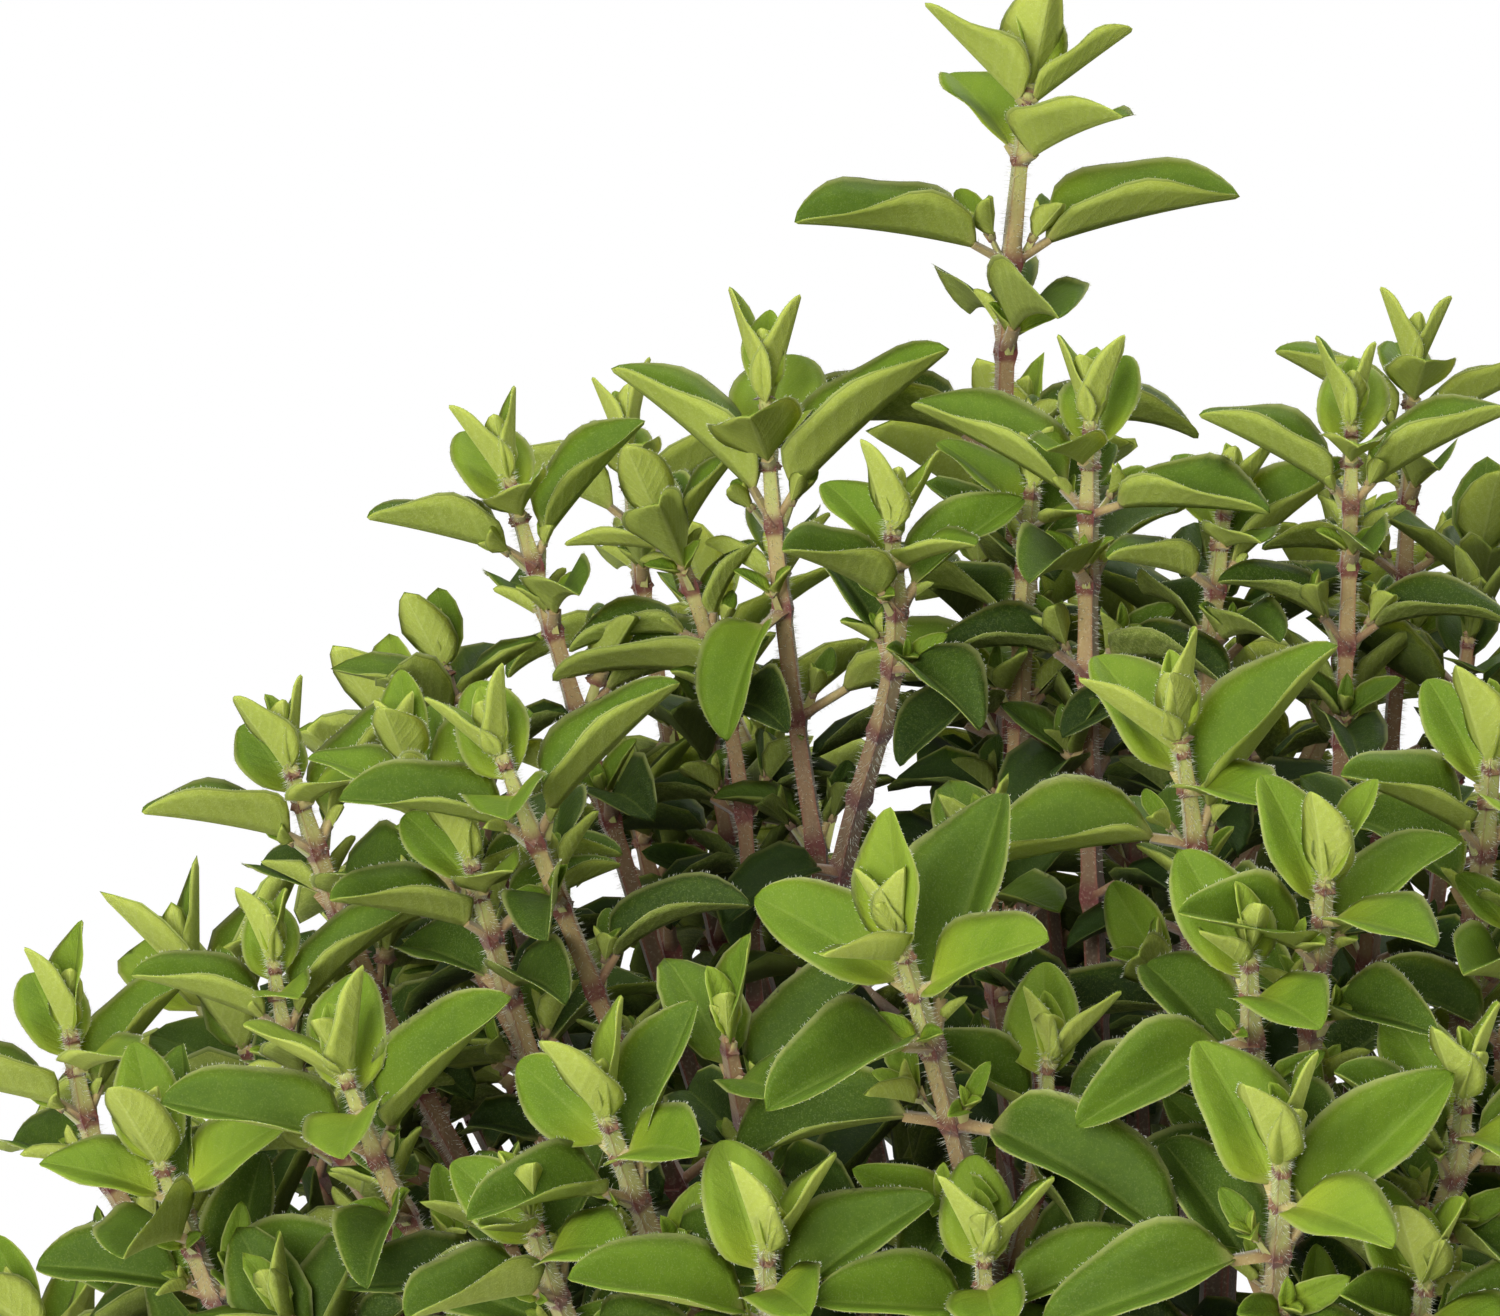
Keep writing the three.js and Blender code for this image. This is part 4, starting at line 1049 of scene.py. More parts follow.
# %% Rings on a centre line
STEM_ROOT_RADIUS, STEM_TIP_RADIUS = 1.4, 1.06
NODE_SWELL = [(-2.4, 1.04, 0.0), (-0.8, 1.2, 0.55), (0.0, 1.3, 1.0), (0.5, 1.18, 0.8), (1.3, 1.0, 0.0)]
RIB_TURNS = np.radians(45 + 45 * np.arange(8))
FLAT_REACH = 0.73
RIB_REACH = np.where(np.arange(8) % 2 == 0, 1.0, FLAT_REACH)
ROOTED_DEPTH = 7.0
# Plain rings lie this far below the bud, each clear of the nodes, and a stem thins towards its bud.
PLAIN_RINGS, CLEAR_OF_NODE, ROOT_CLEAR = [4, 8, 12, 17, 22, 28, 34, *range(41, 200, 9)], 1.8, 4
YOUNG_NODE, ROOT_END = 0.5, 0.9999
BUD_RADIUS, THINS_FROM, THINS_OVER, FORK_SHARE = 0.72, 6, 12, 0.6
# Bark browns with age over this many millimetres below the bud, and deep shoots' bark gets this much painted
# shade.
BARK_OLD_BELOW, DEEP_BARK_SHADE = 48.0, 0.45


def tube_faces(rings, sides):
    i, j = np.meshgrid(np.arange(rings - 1), np.arange(sides), indexing="ij")
    a, b = (i * sides + j).ravel(), (i * sides + (j + 1) % sides).ravel()
    last = (rings - 1) * sides
    fan = range(1, sides - 1)
    caps = [(0, j + 1, j) for j in fan] + [(last, last + j, last + j + 1) for j in fan]
    return [np.stack([a, b, b + sides, a + sides], 1), np.array(caps)]


def ring_frame(tangent):
    across = unit(RIGHT - tangent * (RIGHT @ tangent))
    return across, np.cross(tangent, across)


def stem_rings(one):
    """How far below the bud each ring lies, how swollen it is, and how dark, from the root up."""
    heights, reach = pair_heights(one), line_length(one)
    stops = [(below, 1.0, 0.0) for below in PLAIN_RINGS if below < reach - ROOT_CLEAR]
    for k in range(BUD_PAIR, LAST_PAIR + 1):
        if heights[k] < reach - 3:
            stops = [stop for stop in stops if abs(stop[0] - heights[k]) > CLEAR_OF_NODE]
            size = 1.0 if k > CROWN_PAIR else YOUNG_NODE
            swells = NODE_SWELL if k <= OLDEST_FINE and not one["deep"] else NODE_SWELL[::2]
            for step, swell, ring in swells:
                stops.append((heights[k] + step * size, 1 + (swell - 1) * size, ring))
    stops += [(reach * ROOT_END, 1.0, 0.0), (heights[1], 0.7, 0.0), (heights[0], 0.35, 0.0)]
    return reach, sorted(stops, key=lambda stop: -stop[0])


def stem_radius(one, below, reach):
    share = max(0, below) / reach
    forked = FORK_SHARE if one["grows_from"] else 1
    radius = STEM_TIP_RADIUS + (STEM_ROOT_RADIUS - STEM_TIP_RADIUS) * share * forked
    full = min(1, max(0, below + THINS_FROM) / THINS_OVER)
    return radius * (BUD_RADIUS + 0.28 * full) * min(1, 0.5 + 0.55 * one["vigour"])


def add_stem(basket, one):
    reach, stops = stem_rings(one)
    points, paint = [], []
    for below, swell, ring in stops:
        point, tangent = along(one, below)
        radius = stem_radius(one, below, reach) * swell
        across, away = ring_frame(tangent)
        turn = RIB_TURNS + math.radians(one["twist"])
        reach_out = (radius * RIB_REACH)[:, None]
        points.append(point + reach_out * (np.cos(turn)[:, None] * across + np.sin(turn)[:, None] * away))
        # Bark age, with painted shade added on the stems of deep shoots.
        old_and_shade = min(1, max(0, below) / BARK_OLD_BELOW + DEEP_BARK_SHADE * one["deep"])
        paint.append(np.stack([np.arange(8) % 2 == 0, np.full(8, ring), np.full(8, old_and_shade)], 1))
    if not one["grows_from"]:
        points.insert(0, points[0] - UP * ROOTED_DEPTH)
        paint.insert(0, paint[0])
    stalk = np.array(paint, float).reshape(1, -1, 3)
    basket.add(np.array(points).reshape(1, -1, 3), tube_faces(len(points), 8), stalk=stalk)


# %% Leaf stalks and the stems of side buds
STALK_WIDER, STALK_FLATTER = 1.3, 0.85
# How far a leaf stalk reaches into its blade, and how far it sinks below, in millimetres.
STALK_ENTERS, STALK_SINKS = 0.25, 0.1
# What is painted on a leaf stalk: how ribbed, how red at its node and how brown for its age and painted
# shade.
STALK_RIB, STALK_RED, STALK_BROWN, SPRIG_BROWN, SPRIG_RADII = 0.3, 0.8, 0.6, 0.05, [0.5, 0.32]


def add_tubes(basket, paths, radii, sides_of, ups_of, paint, sides):
    """Round tubes that all have the same number of stops: paths (n, stops, 3), radii (stops,)."""
    turn = np.arange(sides) * 2 * np.pi / sides
    ring = (STALK_WIDER * np.cos(turn)[None, None, :, None] * sides_of[:, None, None]
            + STALK_FLATTER * np.sin(turn)[None, None, :, None] * ups_of[:, None, None])
    points = paths[:, :, None] + ring * np.asarray(radii)[None, :, None, None]
    paint = np.repeat(paint, sides, axis=1)
    basket.add(points.reshape(len(paths), -1, 3), tube_faces(paths.shape[1], sides), stalk=paint)


def add_stalks(basket, many, stops, radii, sides):
    if not many:
        return
    axes = ("node", "out", "rise", "side")
    node, out, rise, side = (np.array([leaf[key] for leaf in many]) for key in axes)
    pitch = np.array([leaf["pitch"] + leaf["steeper"] for leaf in many])[:, None]
    stalk = np.array([leaf["stalk"] for leaf in many])[:, None]
    heading = out * np.cos(pitch) + rise * np.sin(pitch)
    up = rise * np.cos(pitch) - out * np.sin(pitch)
    # The leaf's age carries its painted shade, so stalks deep in the plant are browner.
    age = np.array([leaf["age"] for leaf in many])
    reach, paint = [], []
    for share in stops:
        reach.append(node + heading * (stalk * share + STALK_ENTERS * share) - up * STALK_SINKS * share)
        look = [np.full_like(age, STALK_RIB), np.full_like(age, STALK_RED - share), age * STALK_BROWN]
        paint.append(np.stack(look, 1))
    reach, paint = np.stack(reach, 1), np.stack(paint, 1)
    add_tubes(basket, reach, radii, side, up, paint, sides)


def add_sprigs(basket, many):
    if not many:
        return
    paths = np.array([one["path"] for one in many])
    axis = paths[:, -1] - paths[:, 0]
    axis /= np.linalg.norm(axis, axis=1, keepdims=True)
    across = np.cross(axis, UP + RIGHT * 0.3)
    across /= np.linalg.norm(across, axis=1, keepdims=True)
    paint = np.zeros((len(many), 2, 3))
    paint[..., 2] = SPRIG_BROWN
    add_tubes(basket, paths, SPRIG_RADII, across, np.cross(axis, across), paint, 4)


# %% [markdown]
# ## Hairs
# Oregano is downy: its stems, leaf stalks and leaf margins carry straight white hairs under a millimetre
# long, and against the light they draw a pale line round everything. Blender has hair curves, but plain
# spikes of four small faces are real geometry that any program can show, so each hair is one of those.

# %% Spikes along stems, stalks and margins
HAIR_RADIUS, MARGIN_HAIR_RADIUS, HAIR_CORNERS = 0.028, 0.022, (0, 2.09, 4.19)
HAIR_ZONE = 40.0
STEM_HAIRS_PER_MM, STALK_HAIRS_PER_MM, MARGIN_HAIRS_PER_MM = 28.0, 7.0, 3.0
# The shortest hair and how much longer one can be.
STEM_HAIRS, STALK_HAIRS, MARGIN_HAIRS = (0.45, 0.5), (0.35, 0.35), (0.14, 0.2)
# Stem hairs start above the first pair, thin out downwards, are sunk a little and lean this much along it.
HAIR_ABOVE, HAIR_THINS, HAIR_SUNK, HAIR_LEANS = 5, 1.15, 0.97, (-0.3, 0.5)
# And these are how far stalk hairs stand off and lean, and how far margin hairs point forward and stray.
STALK_HAIR_FOOT, STALK_HAIR_OUT, STALK_HAIR_LEANS, MARGIN_FORWARD, MARGIN_STRAYS = 0.4, 0.95, 0.2, 0.35, 0.25
MARGIN_ROWS = np.linspace(0.04, 0.97, 24)
FULL, THINNER, SPARSE, SPARSEST = 1, 0.2, 0.08, 0.03


def add_hairs(basket, roots, ways, lengths, thick=HAIR_RADIUS):
    aside = np.cross(ways, rng.normal(size=ways.shape))
    aside /= np.linalg.norm(aside, axis=1, keepdims=True) + 1e-9
    away = np.cross(ways, aside)
    corners = [roots + thick * (math.cos(t) * aside + math.sin(t) * away) for t in HAIR_CORNERS]
    points = np.stack([*corners, roots + ways * lengths[:, None]], 1)
    basket.add(points, [np.array([(0, 1, 3), (1, 2, 3), (2, 0, 3), (0, 2, 1)])])


def downy(one):
    """The share of its full coat of hairs that a shoot gets: all of it in front, less behind and inside."""
    if one["deep"]:
        return SPARSEST
    return FULL if one["name"] in FRONT_NAMES else THINNER if one["near"] else SPARSE


def stem_hairs(one):
    reach = line_length(one)
    span = min(HAIR_ZONE, reach - 8)
    count = int(STEM_HAIRS_PER_MM * span * downy(one))
    below = rng.random(count) ** HAIR_THINS * (span + HAIR_ABOVE) - HAIR_ABOVE
    roots, ways = [], []
    for b, turn in zip(below, rng.random(count) * 2 * np.pi):
        point, tangent = along(one, b)
        across, away = ring_frame(tangent)
        out = across * math.cos(turn) + away * math.sin(turn)
        from_flat = (turn - math.radians(one["twist"]) + np.pi / 4) % (np.pi / 2) - np.pi / 4
        roots.append(point + out * stem_radius(one, b, reach) * FLAT_REACH * HAIR_SUNK / math.cos(from_flat))
        ways.append(unit(out + tangent * vary(*HAIR_LEANS)))
    return np.array(roots), np.array(ways), vary(*STEM_HAIRS, count)


def stalk_hairs(leaf):
    count = int(STALK_HAIRS_PER_MM * leaf["stalk"] * downy(leaf["shoot"]))
    along_it, turn = rng.random(count)[:, None], (rng.random(count) * 2 * np.pi)[:, None]
    pitch = leaf["pitch"] + leaf["steeper"]
    heading = leaf["out"] * math.cos(pitch) + leaf["rise"] * math.sin(pitch)
    up = leaf["rise"] * math.cos(pitch) - leaf["out"] * math.sin(pitch)
    out = leaf["side"] * np.cos(turn) + up * np.sin(turn)
    roots = leaf["node"] + heading * (leaf["stalk"] * along_it) + out * STALK_HAIR_FOOT
    return roots, out * STALK_HAIR_OUT + heading * STALK_HAIR_LEANS, vary(*STALK_HAIRS, count)


def margin_hairs(leaf):
    count = int(MARGIN_HAIRS_PER_MM * leaf["length"] * 2 * downy(leaf["shoot"]))
    rows, lanes = len(MARGIN_ROWS), len(SEVEN)
    points, _ = blade_points([leaf], MARGIN_ROWS, SEVEN)
    grid = points[0, : rows * lanes].reshape(rows, lanes, 3)[:, [0, lanes // 2, -1]]
    place = rng.random(count) * (rows - 1.001)
    row, part = place.astype(int), (place % 1)[:, None]
    edge = np.where(rng.random(count) < 0.5, 0, 2)
    root = grid[row, edge] * (1 - part) + grid[row + 1, edge] * part
    out = root - (grid[row, 1] * (1 - part) + grid[row + 1, 1] * part)
    out /= np.linalg.norm(out, axis=1, keepdims=True) + 1e-9
    forward = grid[-1, 1] - grid[0, 1]
    ways = out + MARGIN_FORWARD * forward / np.linalg.norm(forward)
    ways = ways + MARGIN_STRAYS * rng.normal(size=out.shape)
    ways /= np.linalg.norm(ways, axis=1, keepdims=True)
    return root, ways, vary(*MARGIN_HAIRS, count), MARGIN_HAIR_RADIUS


# %% [markdown]
# ## Writing shaders as sums
# A shader is a net of small nodes. Written out one by one they hide the idea, so a small class wraps a
# socket: plus, minus and times on it add Math nodes, and one method adds any other node. What stays the same
# all over a surface is set straight on the shader.


# %% A wire of a shader
class Wire:
    material = tree = None

    def __init__(self, socket):
        self.socket = socket

    @classmethod
    def node(cls, kind, settings=None, sockets=None, out=0):
        node = cls.tree.nodes.new("ShaderNode" + kind)
        for name, value in (settings or {}).items():
            if name == "stops":
                ramp = node.color_ramp
                while len(ramp.elements) < len(value):
                    ramp.elements.new(0.5)
                for element, (place, shown) in zip(ramp.elements, value):
                    element.position, element.color = place, (*shown, 1)
            else:
                setattr(node, name, value)
        for name, value in (sockets or {}).items():
            if isinstance(value, Wire):
                cls.tree.links.new(value.socket, node.inputs[name])
            else:
                node.inputs[name].default_value = value
        return cls(node.outputs[out])

    def math(self, operation, *others, clamp=False):
        settings = {"operation": operation, "use_clamp": clamp}
        return Wire.node("Math", settings, dict(enumerate([self, *others])))

    def __add__(self, other):
        return self.math("ADD", other)

    def __sub__(self, other):
        return self.math("SUBTRACT", other)

    def __rsub__(self, other):
        return Wire.node("Math", {"operation": "SUBTRACT"}, {0: other, 1: self})

    def __mul__(self, other):
        return self.math("MULTIPLY", other)

    def __gt__(self, other):
        return self.math("GREATER_THAN", other)

    __radd__, __rmul__ = __add__, __mul__

    def size(self):
        return self.math("ABSOLUTE")

    def part(self):
        return self.math("FRACT")

    def between(self, low, high):
        """0 below low, 1 above high, smooth in between."""
        settings = {"interpolation_type": "SMOOTHSTEP"}
        return Wire.node("MapRange", settings, {"Value": self, "From Min": low, "From Max": high})


def colour(value):
    return value if isinstance(value, Wire) else (*value, 1)


def mix(factor, a, b, blend="MIX"):
    settings = {"data_type": "RGBA", "blend_type": blend}
    return Wire.node("Mix", settings, {0: factor, 6: colour(a), 7: colour(b)}, out=2)


def split(wire):
    node = Wire.node("SeparateXYZ", None, {0: wire}).socket.node
    return [Wire(out) for out in node.outputs]


def painted(name):
    return split(Wire.node("Attribute", {"attribute_name": name}, out="Vector"))


def cloud(scale, detail=3.0, stretch=(1, 1, 1)):
    """Noise from 0 to 1 over the object, with patches about 1 / scale metres wide."""
    place = Wire.node("TexCoord", out="Object")
    if stretch != (1, 1, 1):
        place = Wire.node("VectorMath", {"operation": "MULTIPLY"}, {0: place, 1: stretch})
    return Wire.node("TexNoise", None, {"Vector": place, "Scale": scale, "Detail": detail})


def begin(name):
    Wire.material = bpy.data.materials.new(name)
    Wire.material.use_nodes = True
    Wire.tree = Wire.material.node_tree


def finished(wires, **constants):
    """The material just begun: wires vary over the surface, and constants are set on its sockets."""
    shader = Wire.tree.nodes["Principled BSDF"]
    for socket, wire in wires.items():
        Wire.tree.links.new(wire.socket, shader.inputs[socket])
    for socket, value in constants.items():
        shader.inputs[socket.replace("_", " ")].default_value = value
    return Wire.material


def relief(height, strength, distance):
    sockets = {"Height": height, "Strength": strength, "Distance": distance}
    return Wire.node("Bump", None, sockets, out="Normal")


def ramp(place, *stops):
    return Wire.node("ValToRGB", {"stops": stops}, {0: place})


# %% [markdown]
# ## The green of a leaf
# A young oregano leaf is yellow-green and turns a deeper green as it ages. Its underside is paler and felted,
# its margin carries a thin pale line, partly its pale hairs and partly a painted rim of light, and its midrib
# and side veins are lighter. Leaves deep inside the plant are darkened with painted shade. The painted
# numbers say where on the blade a point is, so the veins follow each leaf instead of lying over all of them
# at once.

# %% Leaf material
begin("leaf_green")
across, along_blade, under = painted("blade")
# A leaf's age has its painted shade added, and the third number is painted shade alone, from its depth.
age, seed, shade = painted("life")
reach = across.size()
below = under > 0.6
patches = cloud(260)
fuzz = cloud(2600, 2)
felt = cloud(6500, 1).between(0.55, 0.68)
shift = (patches - 0.5) * 0.26 + (seed - 0.5) * 0.22
upper = ramp(
    age + shift, (0.0, (0.20, 0.28, 0.026)), (0.25, (0.108, 0.182, 0.010)), (0.5, (0.063, 0.115, 0.007)),
    (0.75, (0.037, 0.072, 0.005)), (1.0, (0.016, 0.034, 0.003)),
)
lower = ramp(
    age + shift, (0.0, (0.37, 0.42, 0.075)), (0.3, (0.325, 0.385, 0.065)), (0.7, (0.24, 0.295, 0.05)),
    (1.0, (0.10, 0.13, 0.022)),
)
vein = ((along_blade * 7 - reach * 2.1 + patches * 0.5).part() - 0.5).size().between(0.22, 0.5)
vein = vein * (1 - reach.between(0.75, 0.95)) * along_blade.between(0.02, 0.1)
rib = 1 - reach.between(0.02, 0.09)
upper = mix(vein * 0.07, upper, (0.05, 0.10, 0.02))
upper = mix(rib * 0.14, upper, (0.28, 0.36, 0.07))
young_base = (1 - along_blade.between(0.0, 0.5)) * (1 - age.between(0.1, 0.5)) * 0.5
upper = mix(young_base, upper, (0.36, 0.42, 0.03))
upper = mix(fuzz.between(0.4, 0.8) * 0.1, upper, (0.26, 0.34, 0.05))
lower = mix(vein * 0.12 + rib * 0.25, lower, (0.48, 0.54, 0.18))
lower = mix(fuzz.between(0.4, 0.8) * 0.3, lower, (0.50, 0.57, 0.16))
face = mix(felt * (0.07 + below * 0.15), mix(below, upper, lower), (0.60, 0.66, 0.28))
face = mix((1 - along_blade.between(0.0, 0.10)) * 0.4, face, (0.42, 0.38, 0.14))
# Pale margin line: partly the colour of the margin's hairs, partly a painted rim of light.
face = mix(reach.between(0.86, 1.0) * 0.6, face, (0.47, 0.53, 0.15))
# Painted shade: leaves deep inside the plant are darkened towards a near-black green.
face = mix(shade.between(0.1, 0.45) * 0.8, face, (0.012, 0.026, 0.004))
height = felt * 0.35 + fuzz * 0.4 + patches * 0.7 + vein * (below * 0.5 - 0.25) + rib * (below * 1.4 - 0.7)
rough = 0.64 + below * 0.14 + (fuzz - 0.5) * 0.2
leaf_green = finished(
    {"Base Color": face, "Roughness": rough, "Normal": relief(height, 0.5, 0.0002)},
    Subsurface_Weight=0.2, Subsurface_Radius=(0.9, 1.0, 0.2), Subsurface_Scale=0.0011,
    Specular_IOR_Level=0.13,
)
print("leaf material:", len(Wire.tree.nodes), "nodes")

# %% [markdown]
# ## Stem bark and hairs
# Young stems are olive with a flush of red along the ribs and a dark red ring at each node. Lower down they
# turn brown, and stems deep inside the plant are darkened further with painted shade. The hairs are nearly
# white, but they take the colour of what shines through them.

# %% Stem and hair materials
begin("stem_bark")
# The third number is bark age, with painted shade on deep shoots.
ridge, ring, old_and_shade = painted("stalk")
streak = cloud(900, 4, (1, 1, 0.12))
grain = cloud(3000, 3)
bark = ramp(
    old_and_shade + (streak - 0.5) * 0.4, (0.0, (0.37, 0.39, 0.11)), (0.2, (0.37, 0.28, 0.11)),
    (0.55, (0.25, 0.15, 0.07)), (1.0, (0.09, 0.055, 0.03)),
)
bark = mix(ridge.between(0.6, 1.0) * (0.4 + old_and_shade * 0.4), bark, (0.20, 0.055, 0.034))
bark = mix(ring.between(0.1, 0.75) * (0.8 + ridge * 0.2), bark, (0.125, 0.026, 0.022))
bark = mix(grain.between(0.5, 0.75) * 0.22, bark, (0.60, 0.53, 0.36))
rough, height = 0.5 + grain * 0.25, streak * 0.7 + grain * 0.4
stem_bark = finished(
    {"Base Color": bark, "Roughness": rough, "Normal": relief(height, 0.5, 0.0003)},
    Subsurface_Weight=0.08, Subsurface_Radius=(1.0, 0.6, 0.3), Subsurface_Scale=0.001, Specular_IOR_Level=0.3,
    Sheen_Weight=0.3, Sheen_Roughness=0.5,
)
begin("down")
pale = mix(cloud(900), (0.86, 0.84, 0.74), (0.70, 0.76, 0.55))
down = finished({"Base Color": pale}, Roughness=0.5, Specular_IOR_Level=0.4)
print("stem and hair materials made")

# %% [markdown]
# ## Putting the plant together
# Every rooted stem and the shoots it carries become three pieces: leaves, stems and down. Each piece stands
# for the bare stem of the same name.

# %% Leaves, stems and down of each family
LARGE_STALKS = [0, 0.35, 1], [1.0, 0.62, 0.55], 5
SMALL_STALKS = [0, 1], [0.34, 0.28], 4
STEM_SHARP = math.radians(80)
totals = dict(leaves=0, stems=0, down=0)


def of_family(family, many):
    return [one for one in many if one["shoot"]["family"] == family]


for root in rooted:
    family = root["name"]
    members = [one for one in shoots if one["family"] == family]
    own = {kind: of_family(family, many) for kind, many in sorted_leaves.items()}
    leafage, wood, hair = Basket(), Basket(), Basket()
    for kind, many in own.items():
        add_blades(leafage, many, DETAILS[kind])
    for one in members:
        add_stem(wood, one)
        add_hairs(hair, *stem_hairs(one))
    add_stalks(wood, own["hero"] + own["fine"] + own["shaded"], *LARGE_STALKS)
    add_stalks(wood, own["small"] + own["plain"] + own["behind"], *SMALL_STALKS)
    add_sprigs(wood, of_family(family, sprigs))
    for leaf in own["hero"]:
        add_hairs(hair, *stalk_hairs(leaf))
        add_hairs(hair, *margin_hairs(leaf))
    baskets = dict(leaves=(leafage, leaf_green), stems=(wood, stem_bark), down=(hair, down))
    for kind, (basket, material) in baskets.items():
        made = basket.piece(f"{kind}_{family}", material, "stem_" + family, "foliage")
        if kind == "stems":
            made.data.set_sharp_from_angle(angle=STEM_SHARP)
        totals[kind] += triangles_of(made)
print("triangles:", totals)

# %% [markdown]
# ## The clay pot
# A thrown pot is a profile turned round its axis, so a list of radii and heights does it, with short steps
# at every edge to round it. The holes in the foot are cut with a Boolean, as a drill would. A bevel modifier
# could round the edges too, but the profile says exactly how much.

# %% Turning a profile
POT_FOOT_RADIUS, POT_BAND_HEIGHT, POT_BAND_PROUD = 45.0, 24.0, 4.0
TURNS, OUT_OF_ROUND, POT_SHARP = 96, 0.12, math.radians(50)
DRAIN_RADIUS, DRAIN_RING_RADIUS, DRAIN_TURNS, DRILL_LENGTH = 4.5, 24.0, 24, 30.0
band_foot = POT_HEIGHT - POT_BAND_HEIGHT
band_radius = POT_RIM_RADIUS - 2
wall_top = band_radius - POT_BAND_PROUD
inner_rim, inner_foot = POT_RIM_RADIUS - POT_WALL, POT_FOOT_RADIUS - POT_WALL
POT_PROFILE = [
    (0, 0.6), (POT_FOOT_RADIUS - 4, 0.6), (POT_FOOT_RADIUS - 3, 0), (POT_FOOT_RADIUS - 1, 0),
    (POT_FOOT_RADIUS, 0.9), (POT_FOOT_RADIUS + 0.5, 2.2), (50, 24.4), (55, 47), (60, 72.8),
    (wall_top - 0.2, band_foot - 1.2), (wall_top + 0.5, band_foot - 0.2),
    (band_radius - 1.3, band_foot - 0.1), (band_radius - 0.3, band_foot + 0.5),
    (band_radius, band_foot + 1.6), (69, 106), (POT_RIM_RADIUS - 0.2, 115.6),
    (POT_RIM_RADIUS - 0.7, 117.2), (POT_RIM_RADIUS - 2, POT_HEIGHT), (inner_rim + 1.8, POT_HEIGHT),
    (inner_rim + 0.5, 117.3), (inner_rim, 116), (inner_rim - 2.2, 106), (52.3, 62), (inner_foot + 0.6, 9),
    (inner_foot - 1.6, POT_WALL + 0.3), (inner_foot - 4, POT_WALL), (0, POT_WALL),
]


def turned_piece(name, profile, wobble):
    turn = np.arange(TURNS) * 2 * np.pi / TURNS
    points, faces = [], []
    for r, z in profile[1:-1]:
        out = r + wobble * np.sin(2 * turn + z * 0.02) * min(1, r / 40)
        points.append(np.stack([out * np.cos(turn), out * np.sin(turn), np.full(TURNS, z)], 1))
    points = np.vstack(points + [[(0, 0, profile[0][1])], [(0, 0, profile[-1][1])]])
    rings = len(profile) - 2
    for i in range(rings - 1):
        for j in range(TURNS):
            a, b = i * TURNS + j, i * TURNS + (j + 1) % TURNS
            faces.append((a, b, b + TURNS, a + TURNS))
    bottom, top, last = rings * TURNS, rings * TURNS + 1, (rings - 1) * TURNS
    for j in range(TURNS):
        faces.append((bottom, (j + 1) % TURNS, j))
        faces.append((top, last + j, last + (j + 1) % TURNS))
    mesh = bpy.data.meshes.new(name)
    mesh.from_pydata((points * MM).tolist(), [], faces)
    return linked(name, mesh)


clay_pot = turned_piece("clay_pot", POT_PROFILE, OUT_OF_ROUND)
for i in range(4):
    turn = math.radians(45 + 90 * i)
    at = (DRAIN_RING_RADIUS * MM * math.cos(turn), DRAIN_RING_RADIUS * MM * math.sin(turn), 0)
    drill_size = dict(vertices=DRAIN_TURNS, radius=DRAIN_RADIUS * MM, depth=DRILL_LENGTH * MM)
    bpy.ops.mesh.primitive_cylinder_add(**drill_size, location=at)
    drill = bpy.context.object
    cut = clay_pot.modifiers.new("drain", "BOOLEAN")
    cut.operation, cut.object, cut.solver = "DIFFERENCE", drill, "EXACT"
    bpy.context.view_layer.objects.active = clay_pot
    bpy.ops.object.modifier_apply(modifier=cut.name)
    bpy.data.objects.remove(drill)
clay_pot.data.shade_smooth()
clay_pot.data.set_sharp_from_angle(angle=POT_SHARP)
print("pot:", triangles_of(clay_pot), "triangles")

# %% [markdown]
# ## Fired clay
# Terracotta is an orange brown that is never even: the fire leaves darker clouds, lime from the water blooms
# in pale patches, and the surface is full of pores. Three sizes of noise give these three things.

# %% Clay material
begin("terracotta")
clouds, bloom, pores = cloud(14, 4), cloud(38, 5), cloud(900, 3)
lines = cloud(60, 3, (0.05, 0.05, 9))
fired = mix(clouds.between(0.3, 0.7), (0.53, 0.20, 0.095), (0.40, 0.135, 0.062))
fired = mix(bloom.between(0.52, 0.75) * 0.35, fired, (0.68, 0.47, 0.35))
fired = mix(pores.between(0.6, 0.75) * 0.4, fired, (0.30, 0.10, 0.05))
fired = mix(lines.between(0.55, 0.8) * 0.18, fired, (0.60, 0.29, 0.17))
terracotta = finished(
    {"Base Color": fired, "Roughness": 0.8 + (pores - 0.5) * 0.3,
     "Normal": relief(pores * 0.8 + lines * 0.5 + bloom * 0.3, 0.6, 0.0006)},
    Specular_IOR_Level=0.25,
)
clay_pot.data.materials.append(terracotta)
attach(clay_pot, "root")
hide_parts("pot")
print("clay material:", len(Wire.tree.nodes), "nodes")

# %% [markdown]
# ## Potting soil
# The top of the soil is loose and crumbly. A disc of closely set points, raised by noise, gives the uneven
# bed, and a few hundred lumps lie on it. Its flat side is never seen, so it closes with a plain skirt.

# %% The bed of soil
SOIL_RINGS, SOIL_TURNS = 46, 120
SOIL_RADIUS = inner_rim - 2.9
BED_DEPTH, BED_LOWER = 14.0, 0.6
WAVES, WAVES_EACH = ((26, 1.2), (11, 0.8), (5, 0.55), (2.4, 0.35)), 7


def lumps(x, y):
    height = np.zeros_like(x)
    waves = np.random.default_rng(5)
    for size, rise in WAVES:
        for _ in range(WAVES_EACH):
            way, phase = waves.random() * 2 * np.pi, waves.random() * 2 * np.pi
            height += rise / 3 * np.sin((x * math.cos(way) + y * math.sin(way)) * 2 * np.pi / size + phase)
    return height


